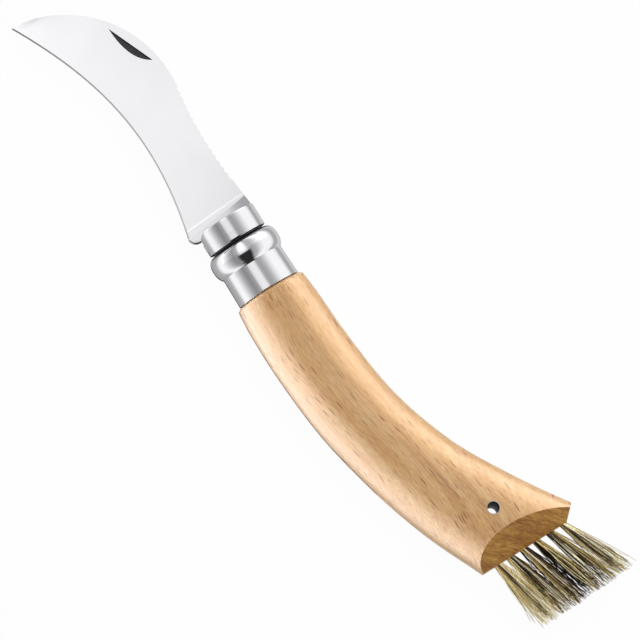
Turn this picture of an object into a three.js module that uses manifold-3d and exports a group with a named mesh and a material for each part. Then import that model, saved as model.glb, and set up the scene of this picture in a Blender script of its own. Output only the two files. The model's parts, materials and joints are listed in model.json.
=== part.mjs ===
// Folding mushroom knife, open, lying on its side. Lengths are in millimetres.
// The knife is drawn with +X along the collar towards the brush, +Y towards the spine
// and +Z up from the side it lies on. The point 0,0,0 of the drawing is on the collar's axis.
import * as THREE from "three";
import { mergeVertices } from "three/addons/utils/BufferGeometryUtils.js";
import Module from "manifold-3d";

const wasm = await Module();
wasm.setup();

// Clearances
const fitGap = 0.3; // between any two pieces
const slotRoofGap = 0.8; // between the cutting edge of the closed blade and the wood
const overrun = 2; // how far a cutting body reaches past what it cuts

// Round facets
const roundSides = 48;
const smallRoundSides = 24;

// Pivot of the blade
const pivotX = 0.5;
const pivotDrop = 2.4; // the pin sits below the collar's axis, towards the cutting edge
const pinRadius = 1.5;
const foldAngle = THREE.MathUtils.degToRad(173);

// Blade
const bladeReach = 80.65; // from the drawing's origin to the point
const pointDrop = 21.9;
const pointBlunt = 1.1;
const crestAt = 46.7; // where the spine is highest
const crestRise = 9.2;
const shoulderRise = 8.65;
const hollowRise = 5.7; // pull of the shallow hollow in the spine
const heelDrop = 11.65;
const heelRadius = 2.4;
const heelBack = 1.4; // back of the heel, in front of the drawing's origin
const tangRadius = 5.2;
const tangThickness = 1.7;
const edgeThickness = 0.24;
const spineThickness = 1.56;
const pointThickness = 0.7;
const plungeAtSpine = 6.2;
const plungeAtEdge = 3.7;
const plungeLength = 1.4;
const edgeHeelShares = [0.41, 0.18]; // where the curves bend, as shares of bladeReach and pointDrop
const edgePointShares = [0.68, 0.38];
const browPointShares = [0.995, 0.37];
const browCrestShare = 0.841; // share of bladeReach
const hollowCrestShare = 0.81; // shares of crestAt
const hollowShoulderShare = 0.69;
const edgeSteps = 34;
const browSteps = 26;

// Scallops filed along the spine
const scallopCount = 15;
const scallopDepth = 0.36;
const scallopFirstShare = 0.1; // shares of the run from the crest to the shoulder
const scallopLastShare = 0.81;
const scallopSteps = 4;

// Nail nick
const nickTipAt = 66.3;
const nickTipRise = 1.2;
const nickRootAt = 52.6;
const nickRootRise = 6.9;
const nickBulge = 2.4;
const nickFloor = 0.14; // height of its floor over the blade's middle plane
const nickSteps = 8;

// Locking ring
const ringFront = 3.3; // ahead of the drawing's origin
const ringBack = 3.5;
const ringRadius = 9.05;
const ringWall = 0.9;
const ringGapHalf = 1.5;
const ringEdgeRound = 0.22;
const ringNearRelief = 1.4; // how far the corner near the heel is cut back
const ringNearAngle = THREE.MathUtils.degToRad(27);
const ringCamLow = 2.85; // depth of the cam at the gap, behind the ring's front
const ringCamHigh = 2;
const ringCamAngle = THREE.MathUtils.degToRad(96);
const ringRiseAngle = THREE.MathUtils.degToRad(24);
const ringSteps = 60;

// Fixed collar
const collarWall = 0.7;
const collarFront = 3;
const grooveEnd = 3.85;
const beadFront = 4.1;
const beadFoot = 0.2; // small step where the bead leaves the sleeve
const beadTop = 8.4;
const beadEnd = 11.5;
const beadRadius = 10.65;
const barrelRadius = 9.42;
const barrelFlare = 0.25;
const collarBack = 20.05;
const collarLip = 0.35;
const beadSteps = 7;
const beadPullShares = [0.87, 0.54]; // where the bead's curves bend, as shares of its two runs
const stepLength = 0.6;

// Wooden handle
const handleLength = 99.2; // from the shoulder behind the collar to the brush face
const gripRadius = 10.7;
const gripHalfThickness = 11.15;
const tailRise = 25; // how far the tail's middle lies towards the spine side
const tailHalfWidth = 17.3;
const tailHalfThickness = 10.4;
const shoulderRound = 1.1;
const shoulderSteps = 4;
const handleSteps = 22;
// Rows: share of the length, of the tail's rise, of the widening to the tail
const handleShares = [
  [0, 0, 0],
  [0.07, 0, 0.08],
  [0.2, 0.01, 0.13],
  [0.4, 0.078, 0.19],
  [0.6, 0.265, 0.34],
  [0.81, 0.6, 0.69],
  [1, 1, 1],
];

// Brush end
const bevelLength = 7.45;
const brushFaceHalf = 1.8; // half the thickness of the strip between the two bevels
const cornerCut = 4.1; // cut off the spine-side corner, along the brush face and along the side
const cornerRise = 35.6;
const backingDepth = 1.6;
const backingHalf = 1.3;
const backingEnd = 1; // backing past the outermost tufts
const tuftCount = 6;
const firstTuftRise = 12.85;
const tuftPitch = 4.29;
const tuftRadius = 1.15;
const rootRadius = 0.9;
const rootLength = 6;
const anchorHeight = 1.4;
const anchorThickness = 0.4;

// Bristles
const strandsPerTuft = 56;
const strandRadius = 0.13;
const strandTipShare = 0.7;
const strandLength = 21.2;
const strandLengthSpread = 2.6;
const strandSink = 0.5;
const tuftSpreadYShare = 1.95; // growth of a tuft from root to tip, across the knife
const tuftSpreadZShare = 2.6; // and through its thickness
const firstTuftLean = THREE.MathUtils.degToRad(12.5);
const lastTuftLean = THREE.MathUtils.degToRad(22);

// Lanyard eyelet
const eyeletAt = 105.75;
const eyeletRise = 19.6;
const eyeletRadius = 1.95;
const eyeletWall = 0.25;
const eyeletHalfLength = 10.3;

// Places that follow from the sizes above
const pivot = new THREE.Vector2(pivotX, -pivotDrop);
const shoulderX = -(ringFront + fitGap);
const neckFront = -(collarFront - fitGap);
const handleFront = collarBack + fitGap;
const brushFace = handleFront + handleLength;
const slotHalf = tangThickness / 2 + fitGap;
const ringInner = ringRadius - ringWall;
const sleeveRadius = ringInner - fitGap;
const sleeveInner = sleeveRadius - collarWall;
const barrelInner = barrelRadius - collarWall;
const lastTuftRise = firstTuftRise + (tuftCount - 1) * tuftPitch;

const steel = { metalness: 1, roughness: 0.3 };
const finishes = {
  blade: { color: 0xe4e4e6, ...steel },
  ring: { color: 0xd8d8da, metalness: 1, roughness: 0.18 },
  collar: { color: 0xd2d2d4, metalness: 1, roughness: 0.2 },
  pin: { color: 0x9a9a9c, metalness: 1, roughness: 0.35 },
  wood: { color: 0xd9a873, metalness: 0, roughness: 0.45 },
  eyelet: { color: 0xa9abb0, metalness: 1, roughness: 0.3 },
  bristle: { color: 0x8d7a4c, metalness: 0, roughness: 0.6 },
  anchor: { color: 0x8c8c8e, metalness: 1, roughness: 0.4 },
};

// Turns a closed geometry into a solid that can be joined and cut.
function solid(geometry) {
  const bare = geometry.index ? geometry.toNonIndexed() : geometry.clone();
  bare.deleteAttribute("normal");
  bare.deleteAttribute("uv");
  const merged = mergeVertices(bare);
  return new wasm.Manifold(
    new wasm.Mesh({
      numProp: 3,
      vertProperties: new Float32Array(merged.attributes.position.array),
      triVerts: new Uint32Array(merged.index.array),
    }),
  );
}

// Turns a solid back into a geometry.
function geometryOf(body) {
  const mesh = body.getMesh();
  const geometry = new THREE.BufferGeometry();
  geometry.setAttribute("position", new THREE.BufferAttribute(mesh.vertProperties, 3));
  geometry.setIndex(new THREE.BufferAttribute(mesh.triVerts, 1));
  geometry.computeVertexNormals();
  return geometry;
}

function named(name, body, finish) {
  const mesh = new THREE.Mesh(geometryOf(body), new THREE.MeshStandardMaterial(finish));
  mesh.name = name;
  return mesh;
}

// Skins a row of rings that have equal counts of points, and closes both ends with a fan.
function loft(rings) {
  const count = rings[0].length;
  const positions = rings.flat().flatMap((point) => [point.x, point.y, point.z]);
  const faces = [];
  for (let row = 0; row + 1 < rings.length; row += 1) {
    for (let i = 0; i < count; i += 1) {
      const a = row * count + i;
      const b = row * count + ((i + 1) % count);
      faces.push(a, b, b + count, a, b + count, a + count);
    }
  }
  const last = (rings.length - 1) * count;
  for (let i = 1; i + 1 < count; i += 1) {
    faces.push(0, i + 1, i, last, last + i, last + i + 1);
  }
  const geometry = new THREE.BufferGeometry();
  geometry.setAttribute("position", new THREE.Float32BufferAttribute(positions, 3));
  geometry.setIndex(faces);
  return geometry;
}

// A flat outline in X and Y made a plate from z = low to z = high.
function plate(points, low, high) {
  const shape = new THREE.Shape(points);
  const geometry = new THREE.ExtrudeGeometry(shape, { depth: high - low, bevelEnabled: false });
  return solid(geometry.translate(0, 0, low));
}

// A profile of radius against X, closed on itself, turned round the X axis.
function turned(profile, sides) {
  const points = profile.map(([x, radius]) => new THREE.Vector2(radius, x));
  points.push(points[0].clone());
  return solid(new THREE.LatheGeometry(points, sides).rotateZ(-Math.PI / 2));
}

function block(low, high) {
  const size = high.clone().sub(low);
  const middle = low.clone().add(high).multiplyScalar(0.5);
  return solid(new THREE.BoxGeometry(size.x, size.y, size.z).translate(middle.x, middle.y, middle.z));
}

// An upright round bar at x, y that reaches half its length to each side of the middle plane.
function upright(x, y, radius, halfLength) {
  const bar = new THREE.CylinderGeometry(radius, radius, 2 * halfLength, smallRoundSides);
  return solid(bar.rotateX(Math.PI / 2).translate(x, y, 0));
}

function arc(centre, radius, from, to, steps) {
  return Array.from({ length: steps + 1 }, (_, i) => {
    const angle = from + ((to - from) * i) / steps;
    return new THREE.Vector2(centre.x + radius * Math.cos(angle), centre.y + radius * Math.sin(angle));
  });
}

// Where a point of the open blade lies when the blade is closed.
function folded(point) {
  return point.clone().rotateAround(pivot, foldAngle);
}

// Height of a row of points at x, where the points run along X. Past an end, the end's height.
function heightAt(points, x) {
  for (let i = 0; i + 1 < points.length; i += 1) {
    const [a, b] = [points[i], points[i + 1]];
    if ((a.x - x) * (b.x - x) <= 0 && a.x !== b.x) return a.y + ((b.y - a.y) * (x - a.x)) / (b.x - a.x);
  }
  const [first, last] = [points[0], points.at(-1)];
  return Math.abs(first.x - x) < Math.abs(last.x - x) ? first.y : last.y;
}

const heelCentre = new THREE.Vector2(-(heelBack + heelRadius), -(heelDrop - heelRadius));
const edgeCurve = new THREE.CubicBezierCurve(
  new THREE.Vector2(heelCentre.x - fitGap, -heelDrop),
  new THREE.Vector2(-bladeReach * edgeHeelShares[0], -pointDrop * edgeHeelShares[1]),
  new THREE.Vector2(-bladeReach * edgePointShares[0], -pointDrop * edgePointShares[1]),
  new THREE.Vector2(-bladeReach, -pointDrop),
);
const browCurve = new THREE.CubicBezierCurve(
  new THREE.Vector2(-crestAt, crestRise),
  new THREE.Vector2(-bladeReach * browCrestShare, crestRise),
  new THREE.Vector2(-bladeReach * browPointShares[0], -pointDrop * browPointShares[1]),
  new THREE.Vector2(-bladeReach, -(pointDrop - pointBlunt)),
);
const hollowCurve = new THREE.CubicBezierCurve(
  new THREE.Vector2(shoulderX, shoulderRise),
  new THREE.Vector2(-crestAt * hollowShoulderShare, hollowRise),
  new THREE.Vector2(-crestAt * hollowCrestShare, crestRise),
  new THREE.Vector2(-crestAt, crestRise),
);

// The spine from the shoulder to the crest, with a run of shallow scallops.
function scallopedSpine() {
  const points = [hollowCurve.getPointAt(0)];
  const run = scallopLastShare - scallopFirstShare;
  for (let i = 0; i < scallopCount; i += 1) {
    for (let step = 0; step < scallopSteps; step += 1) {
      const share = (i + step / scallopSteps) / scallopCount;
      const point = hollowCurve.getPointAt(1 - scallopLastShare + run * share);
      point.y -= scallopDepth * Math.sin((Math.PI * step) / scallopSteps);
      points.push(point);
    }
  }
  points.push(hollowCurve.getPointAt(1 - scallopFirstShare), hollowCurve.getPointAt(1));
  return points;
}

function bladeOutline() {
  return [
    new THREE.Vector2(-heelBack, pivot.y - tangRadius),
    ...arc(pivot, tangRadius, -Math.PI / 2, Math.PI / 2, smallRoundSides / 2),
    new THREE.Vector2(shoulderX, pivot.y + tangRadius),
    ...scallopedSpine(),
    ...browCurve.getPoints(browSteps).slice(1),
    ...edgeCurve.getPoints(edgeSteps).reverse(),
    ...arc(heelCentre, heelRadius, -Math.PI / 2, 0, smallRoundSides / 4),
  ];
}

// The body ground away from one face of the blade: nothing at the plunge line, then a wedge
// that leaves the spine thick and the edge thin, and thins towards the point.
function grind() {
  const edge = edgeCurve.getPoints(edgeSteps);
  const spine = [...hollowCurve.getPoints(browSteps), ...browCurve.getPoints(browSteps).slice(1)];
  const lift = tangThickness + overrun;
  const end = -(bladeReach + overrun);
  const rings = [];
  const addRing = (edgeX, spineX, edgeHalf, spineHalf) => {
    const low = new THREE.Vector3(edgeX, heightAt(edge, edgeX), edgeHalf);
    const high = new THREE.Vector3(spineX, heightAt(spine, spineX), spineHalf);
    const reach = high.clone().sub(low);
    reach.multiplyScalar(overrun / Math.max(high.y - low.y, overrun));
    low.sub(reach);
    high.add(reach);
    rings.unshift([low, high, high.clone().setZ(lift), low.clone().setZ(lift)]);
  };
  addRing(-plungeAtEdge, -plungeAtSpine, tangThickness / 2, tangThickness / 2);
  for (let i = 0; i <= browSteps; i += 1) {
    const share = i / browSteps;
    const edgeX = THREE.MathUtils.lerp(-(plungeAtEdge + plungeLength), end, share);
    const spineX = THREE.MathUtils.lerp(-(plungeAtSpine + plungeLength), end, share);
    const spineHalf = THREE.MathUtils.lerp(spineThickness, pointThickness, share) / 2;
    addRing(edgeX, spineX, edgeThickness / 2, spineHalf);
  }
  return solid(loft(rings));
}

// The nail nick: straight along its upper side, bulged below.
function nailNick() {
  const tip = new THREE.Vector2(-nickTipAt, nickTipRise);
  const root = new THREE.Vector2(-nickRootAt, nickRootRise);
  const down = root.clone().sub(tip).normalize().rotateAround(new THREE.Vector2(), -Math.PI / 2);
  const belly = tip.clone().add(root).multiplyScalar(0.5).addScaledVector(down, 2 * nickBulge);
  const curve = new THREE.QuadraticBezierCurve(tip, belly, root);
  return plate(curve.getPoints(nickSteps), nickFloor, tangThickness);
}

function makeBlade() {
  const blank = plate(bladeOutline(), -tangThickness / 2, tangThickness / 2);
  const upper = grind();
  const lower = upper.mirror([0, 0, 1]);
  const hole = upright(pivot.x, pivot.y, pinRadius + fitGap, tangThickness);
  return blank.subtract(upper).subtract(lower).subtract(hole).subtract(nailNick());
}

// How far the ring's front edge is cut back at an angle from the gap, on the side it lies on.
function ringRelief(angle, halfGapAngle) {
  const past = angle - halfGapAngle;
  const left = 2 * Math.PI - halfGapAngle - angle;
  const rise = past - ringCamAngle;
  if (rise < 0) return THREE.MathUtils.lerp(ringCamLow, ringCamHigh, past / ringCamAngle);
  if (rise < ringRiseAngle) return ringCamHigh * (1 - rise / ringRiseAngle);
  return Math.max(0, ringNearRelief * (1 - left / ringNearAngle));
}

// The locking ring: an open C whose gap faces the cutting edge side when it is unlocked.
function makeRing() {
  const halfGapAngle = Math.asin(ringGapHalf / ringRadius);
  const turn = 2 * Math.PI - 2 * halfGapAngle;
  const rings = [];
  for (let i = 0; i <= ringSteps; i += 1) {
    const angle = halfGapAngle + (turn * i) / ringSteps;
    const front = -ringFront + ringRelief(angle, halfGapAngle);
    const section = [
      [front, ringInner],
      [front, ringRadius - ringEdgeRound],
      [front + ringEdgeRound, ringRadius],
      [ringBack - ringEdgeRound, ringRadius],
      [ringBack, ringRadius - ringEdgeRound],
      [ringBack, ringInner],
    ];
    const at = ([x, radius]) => new THREE.Vector3(x, -radius * Math.cos(angle), -radius * Math.sin(angle));
    rings.unshift(section.map(at));
  }
  return solid(loft(rings));
}

// The fixed collar: a thin sleeve under the ring, the bead and the barrel over the wood.
function makeCollar() {
  const [frontPull, backPull] = beadPullShares;
  const rise = new THREE.CubicBezierCurve(
    new THREE.Vector2(beadFront, sleeveRadius + beadFoot),
    new THREE.Vector2(beadFront, THREE.MathUtils.lerp(sleeveRadius, beadRadius, frontPull)),
    new THREE.Vector2(THREE.MathUtils.lerp(beadFront, beadTop, backPull), beadRadius),
    new THREE.Vector2(beadTop, beadRadius),
  );
  const fall = new THREE.CubicBezierCurve(
    new THREE.Vector2(beadTop, beadRadius),
    new THREE.Vector2(THREE.MathUtils.lerp(beadTop, beadEnd, backPull), beadRadius),
    new THREE.Vector2(THREE.MathUtils.lerp(beadTop, beadEnd, backPull), barrelRadius),
    new THREE.Vector2(beadEnd, barrelRadius),
  );
  const outer = [...rise.getPoints(beadSteps), ...fall.getPoints(beadSteps).slice(1)];
  const stepAt = beadFront + stepLength;
  const profile = [
    [-collarFront, sleeveInner],
    [-collarFront, sleeveRadius],
    [grooveEnd, sleeveRadius],
    ...outer.map((point) => [point.x, point.y]),
    [collarBack - collarLip, barrelRadius + barrelFlare],
    [collarBack, barrelRadius + barrelFlare - collarLip],
    [collarBack, barrelInner],
    [stepAt + stepLength, barrelInner],
    [stepAt, sleeveInner],
  ];
  return turned(profile, roundSides).subtract(bladeSlot()).subtract(pinBore());
}

// The slot that takes the closed blade: its roof follows the folded heel and cutting edge,
// and its end is the arc that the point swings through.
function bladeSlot() {
  const heel = folded(heelCentre);
  const pocket = heelRadius + slotRoofGap / 2;
  const roof = edgeCurve.getPoints(smallRoundSides).map((point) => folded(point));
  const point = folded(new THREE.Vector2(-bladeReach, -pointDrop)).sub(pivot);
  const below = -(tailHalfWidth + overrun);
  const reach = point.length() + slotRoofGap;
  const outline = [
    new THREE.Vector2(-(ringFront + overrun), below),
    new THREE.Vector2(-(ringFront + overrun), pivot.y + tangRadius + fitGap),
    new THREE.Vector2(heel.x - pocket, pivot.y + tangRadius + fitGap),
    ...arc(heel, pocket, Math.PI, Math.PI / 2, smallRoundSides / 4),
    ...roof.map((at) => new THREE.Vector2(at.x, at.y + slotRoofGap)),
    ...arc(pivot, reach, point.angle(), Math.asin((below - pivot.y) / reach), smallRoundSides / 4),
  ];
  return plate(outline.reverse(), -slotHalf, slotHalf);
}

function pinBore() {
  return upright(pivot.x, pivot.y, pinRadius + fitGap, ringRadius);
}

// The pin ends inside the sleeve's outer face, where the ring covers it.
function makePin() {
  const farthest = pivotDrop + pinRadius;
  const halfLength = Math.sqrt(sleeveRadius ** 2 - farthest ** 2);
  return upright(pivot.x, pivot.y, pinRadius, halfLength);
}

// The handle's outside as oval rings from the neck to the brush face.
function handleBlank() {
  const neck = sleeveInner - fitGap;
  const stepAt = beadFront + stepLength + fitGap;
  const plug = barrelInner - fitGap;
  const sections = [
    { x: neckFront, y: 0, width: neck, height: neck },
    { x: stepAt, y: 0, width: neck, height: neck },
    { x: stepAt + stepLength, y: 0, width: plug, height: plug },
    { x: handleFront, y: 0, width: plug, height: plug },
  ];
  for (let i = 0; i <= shoulderSteps; i += 1) {
    const angle = (Math.PI / 2) * (i / shoulderSteps);
    const radius = gripRadius - shoulderRound * (1 - Math.sin(angle));
    const x = handleFront + shoulderRound * (1 - Math.cos(angle));
    sections.push({ x, y: 0, width: radius, height: radius });
  }
  const shape = new THREE.CatmullRomCurve3(handleShares.map((row) => new THREE.Vector3(...row)));
  const run = handleLength - shoulderRound;
  for (let i = 1; i <= handleSteps; i += 1) {
    const { x, y, z } = shape.getPoint(i / handleSteps);
    const width = THREE.MathUtils.lerp(gripRadius, tailHalfWidth, z);
    const height = Math.min(width, THREE.MathUtils.lerp(gripHalfThickness, tailHalfThickness, x));
    sections.push({ x: handleFront + shoulderRound + run * x, y: tailRise * y, width, height });
  }
  const ring = ({ x, y, width, height }) =>
    Array.from({ length: roundSides }, (_, i) => {
      const angle = (2 * Math.PI * i) / roundSides;
      return new THREE.Vector3(x, y + width * Math.cos(angle), height * Math.sin(angle));
    });
  return solid(loft(sections.map(ring)));
}

// The wedge cut away above the upper bevel of the brush end.
function bevelCut() {
  const slope = (tailHalfThickness - brushFaceHalf) / bevelLength;
  const near = brushFace - bevelLength - overrun;
  const far = brushFace + overrun;
  const rings = [tailRise + 2 * tailHalfWidth, -tailHalfWidth].map((y) => [
    new THREE.Vector3(far, y, brushFaceHalf - slope * overrun),
    new THREE.Vector3(far, y, tailHalfThickness + slope * overrun),
    new THREE.Vector3(near, y, tailHalfThickness + slope * overrun),
  ]);
  return solid(loft(rings));
}

// The spine-side corner of the brush end, cut across at an angle.
function cornerCutBody() {
  const start = new THREE.Vector2(brushFace, cornerRise);
  const along = new THREE.Vector2(-cornerCut, cornerCut).normalize();
  const reach = 2 * tailHalfWidth;
  const outline = [
    start.clone().addScaledVector(along, -reach),
    start.clone().add(new THREE.Vector2(reach, reach)),
    start.clone().addScaledVector(along, reach),
  ];
  return plate(outline, -gripRadius - overrun, gripRadius + overrun);
}

function backingBlock(gap, front) {
  const low = new THREE.Vector3(brushFace - backingDepth - gap, firstTuftRise, -backingHalf - gap);
  const high = new THREE.Vector3(front, lastTuftRise, backingHalf + gap);
  const end = tuftRadius + backingEnd + gap;
  low.y -= end;
  high.y += end;
  return block(low, high);
}

function tuftRise(index) {
  return firstTuftRise + index * tuftPitch;
}

// A round bar along X from one x to another at a tuft's place.
function tuftBar(index, from, to, radius) {
  const bar = new THREE.CylinderGeometry(radius, radius, to - from, smallRoundSides / 2);
  return solid(bar.rotateZ(-Math.PI / 2).translate((from + to) / 2, tuftRise(index), 0));
}

const rootEnd = brushFace - backingDepth - rootLength;
const boreEnd = rootEnd - anchorHeight - 2 * fitGap;

function makeHandle() {
  const bevel = bevelCut();
  let handle = handleBlank()
    .subtract(bladeSlot())
    .subtract(pinBore())
    .subtract(bevel)
    .subtract(bevel.mirror([0, 0, 1]))
    .subtract(cornerCutBody())
    .subtract(upright(eyeletAt, eyeletRise, eyeletRadius + fitGap, gripRadius + overrun))
    .subtract(backingBlock(fitGap, brushFace + overrun));
  for (let i = 0; i < tuftCount; i += 1) {
    handle = handle.subtract(tuftBar(i, boreEnd, brushFace, rootRadius + fitGap));
  }
  return handle;
}

// A steady spread of numbers from 0 to 1 that looks irregular.
function scatter(index) {
  const golden = (Math.sqrt(5) - 1) / 2;
  return (index * golden) % 1;
}

// One straight bristle of three sides, narrower at its tip.
function strand(root, tip) {
  const side = (centre, radius) =>
    [0, 1, 2].map((corner) => {
      const angle = (2 * Math.PI * corner) / 3;
      const offset = new THREE.Vector3(0, radius * Math.cos(angle), radius * Math.sin(angle));
      return centre.clone().add(offset);
    });
  return loft([side(root, strandRadius), side(tip, strandRadius * strandTipShare)]);
}

// One tuft: strands set in a sunflower pattern, all spread from root to tip by the same
// factors, so that none can cross another.
function tuftStrands(index) {
  const lean = THREE.MathUtils.lerp(firstTuftLean, lastTuftLean, index / (tuftCount - 1));
  const goldenAngle = Math.PI * (3 - Math.sqrt(5));
  return Array.from({ length: strandsPerTuft }, (_, i) => {
    const radius = (tuftRadius - strandRadius) * Math.sqrt((i + 0.5) / strandsPerTuft);
    const y = radius * Math.cos(i * goldenAngle);
    const z = radius * Math.sin(i * goldenAngle);
    const length = strandLength - strandLengthSpread * scatter(i + index * strandsPerTuft);
    const share = length / strandLength;
    const root = new THREE.Vector3(brushFace - strandSink, tuftRise(index) + y, z);
    const tip = new THREE.Vector3(
      brushFace + length * Math.cos(lean),
      tuftRise(index) + y * THREE.MathUtils.lerp(1, tuftSpreadYShare, share) + length * Math.sin(lean),
      z * THREE.MathUtils.lerp(1, tuftSpreadZShare, share),
    );
    return solid(strand(root, tip));
  });
}

// The bristles of all tufts, fused to the thin backing that lies flush in the brush face,
// with their folded roots behind it.
function makeBristles() {
  let row = backingBlock(0, brushFace);
  for (let i = 0; i < tuftCount; i += 1) {
    const backingMiddle = brushFace - backingDepth / 2;
    row = row.add(tuftBar(i, rootEnd, backingMiddle, rootRadius));
    for (const bristle of tuftStrands(i)) row = row.add(bristle);
  }
  return row;
}

// A flat wire that holds a tuft's folded roots down in their bore.
function makeAnchor(index) {
  const half = new THREE.Vector3(0, rootRadius, anchorThickness / 2);
  const low = new THREE.Vector3(boreEnd + fitGap, tuftRise(index), 0).sub(half);
  const high = new THREE.Vector3(rootEnd - fitGap, tuftRise(index), 0).add(half);
  return block(low, high);
}

function makeEyelet() {
  const tube = upright(eyeletAt, eyeletRise, eyeletRadius, eyeletHalfLength);
  const bore = upright(eyeletAt, eyeletRise, eyeletRadius - eyeletWall, eyeletHalfLength + overrun);
  return tube.subtract(bore);
}

const knife = new THREE.Group();
knife.add(
  named("handle", makeHandle(), finishes.wood),
  named("fixed_collar", makeCollar(), finishes.collar),
  named("locking_ring", makeRing(), finishes.ring),
  named("pivot_pin", makePin(), finishes.pin),
  named("blade", makeBlade(), finishes.blade),
  named("lanyard_eyelet", makeEyelet(), finishes.eyelet),
  named("bristle_row", makeBristles(), finishes.bristle),
);
for (let i = 0; i < tuftCount; i += 1) {
  knife.add(named(`tuft_anchor_${i + 1}`, makeAnchor(i), finishes.anchor));
}

// The knife stands on z = 0, centred over the origin.
const box = new THREE.Box3().setFromObject(knife);
knife.position.set(-(box.min.x + box.max.x) / 2, -(box.min.y + box.max.y) / 2, -box.min.z);

export default knife;
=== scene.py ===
"""Looks of a folding mushroom knife: beech handle, steel collar, curved blade, bristle brush.

The knife is drawn in millimetres, with +X along the collar towards the brush, +Y towards the
spine and +Z up, from a point on the collar's axis. Each finished piece is then placed in the
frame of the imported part, in metres.
"""
import json
import logging
import math
import random
from dataclasses import dataclass, field
from enum import Enum
from typing import Callable

import bmesh
import bpy
from mathutils import Matrix, Vector
from mathutils.geometry import interpolate_bezier


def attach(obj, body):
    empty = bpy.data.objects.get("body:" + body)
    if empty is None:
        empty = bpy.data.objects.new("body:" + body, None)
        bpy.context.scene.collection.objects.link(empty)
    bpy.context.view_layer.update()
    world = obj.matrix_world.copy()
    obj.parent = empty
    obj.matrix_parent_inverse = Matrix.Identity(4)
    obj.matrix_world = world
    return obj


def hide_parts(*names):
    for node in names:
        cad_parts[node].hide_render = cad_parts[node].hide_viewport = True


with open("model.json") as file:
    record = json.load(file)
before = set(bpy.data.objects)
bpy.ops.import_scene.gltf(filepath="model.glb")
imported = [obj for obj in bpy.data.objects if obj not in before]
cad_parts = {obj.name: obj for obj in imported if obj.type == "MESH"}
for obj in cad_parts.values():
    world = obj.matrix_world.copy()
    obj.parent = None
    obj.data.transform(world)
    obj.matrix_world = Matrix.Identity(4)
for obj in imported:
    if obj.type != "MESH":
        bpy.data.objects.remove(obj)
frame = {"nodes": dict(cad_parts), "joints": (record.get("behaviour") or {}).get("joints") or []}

LOG = logging.getLogger("mushroom_knife")
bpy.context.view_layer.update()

MM = 0.001
UP = Vector((0, 0, 1))
AXIS = Vector((1, 0, 0))
ORIGIN = Vector(next(j for j in frame["joints"] if j["name"] == "lock_turn")["pos_m"])
PLACE = Matrix.Translation(ORIGIN) @ Matrix.Scale(MM, 4)

# Clearances, in millimetres
FIT_GAP = 0.3
SLOT_ROOF_GAP = 0.8
OVERRUN = 2.0

Row = list[Vector]


class Body(Enum):
    """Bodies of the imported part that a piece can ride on."""

    HANDLE = "handle"
    BLADE = "blade"
    RING = "ring"


class Slot(Enum):
    """Material slots of the part's record."""

    BLADE = "blade_steel"
    COLLAR = "collar_steel"
    PIN = "pin_steel"
    WOOD = "beech"
    EYELET = "eyelet_metal"
    BRISTLE = "boar_bristle"
    WIRE = "anchor_wire"


def linear(hex_colour: str) -> tuple[float, float, float, float]:
    """Turns an sRGB colour into the linear one that a shader takes.

    Args:
        hex_colour: Six hexadecimal digits, such as "D9AE75".

    Returns:
        Red, green, blue and an alpha of 1.
    """
    channels = [int(hex_colour[i : i + 2], 16) / 255 for i in (0, 2, 4)]
    made = [c / 12.92 if c <= 0.04045 else ((c + 0.055) / 1.055) ** 2.4 for c in channels]
    return (*made, 1.0)


def lerp(start: float, end: float, share: float) -> float:
    """Returns the value at a share of the way from start to end."""
    return start + (end - start) * share


def smooth_step(low: float, high: float, value: float) -> float:
    """Returns 0 below low, 1 above high and a smooth rise between them."""
    share = min(1.0, max(0.0, (value - low) / (high - low)))
    return share * share * (3 - 2 * share)


def bezier(points: list[tuple[float, float]], steps: int) -> Row:
    """Returns points along a cubic curve in the drawing's X and Y.

    Args:
        points: Start, the two pulls and the end.
        steps: How many steps the curve is cut into.
    """
    start, pull_a, pull_b, end = (Vector((x, y, 0)) for x, y in points)
    return interpolate_bezier(start, pull_a, pull_b, end, steps + 1)


def arc(centre: Vector, radius: float, start: float, end: float, steps: int) -> Row:
    """Returns points on an arc in the drawing's X and Y.

    Args:
        centre: Middle of the arc.
        radius: Radius in millimetres.
        start: First angle in radians.
        end: Last angle in radians.
        steps: How many steps the arc is cut into.
    """
    angles = [lerp(start, end, i / steps) for i in range(steps + 1)]
    return [centre + radius * Vector((math.cos(a), math.sin(a), 0)) for a in angles]


def height_at(row: Row, x: float) -> float:
    """Returns the Y of a row of points at x, or of its nearer end past the ends."""
    for a, b in zip(row, row[1:]):
        if (a.x - x) * (b.x - x) <= 0 and a.x != b.x:
            return lerp(a.y, b.y, (x - a.x) / (b.x - a.x))
    return min((row[0], row[-1]), key=lambda end: abs(end.x - x)).y


def skin(rows: list[Row], closed: bool = True) -> bmesh.types.BMesh:
    """Extrudes a row of points through other rows of as many points.

    Args:
        rows: The rows in order.
        closed: Whether each row is a ring, whose two ends are then capped.

    Returns:
        The skinned mesh with its faces pointing out.
    """
    bm = bmesh.new()
    line = [bm.verts.new(point) for point in rows[0]]
    pairs = list(zip(line, line[1:] + line[:1])) if closed else list(zip(line, line[1:]))
    edges = [bm.edges.new(pair) for pair in pairs]
    if closed:
        bm.faces.new(line)
    for row in rows[1:]:
        old = set(line)
        made = bmesh.ops.extrude_edge_only(bm, edges=edges)["geom"]
        edges = [e for e in made if isinstance(e, bmesh.types.BMEdge) and not old & set(e.verts)]
        fresh = {v for e in edges for v in e.verts}
        line = [next(e.other_vert(v) for e in v.link_edges if e.other_vert(v) in fresh) for v in line]
        for vert, point in zip(line, row):
            vert.co = point
    if closed:
        bm.faces.new(line)
    bmesh.ops.recalc_face_normals(bm, faces=bm.faces)
    return bm


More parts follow.
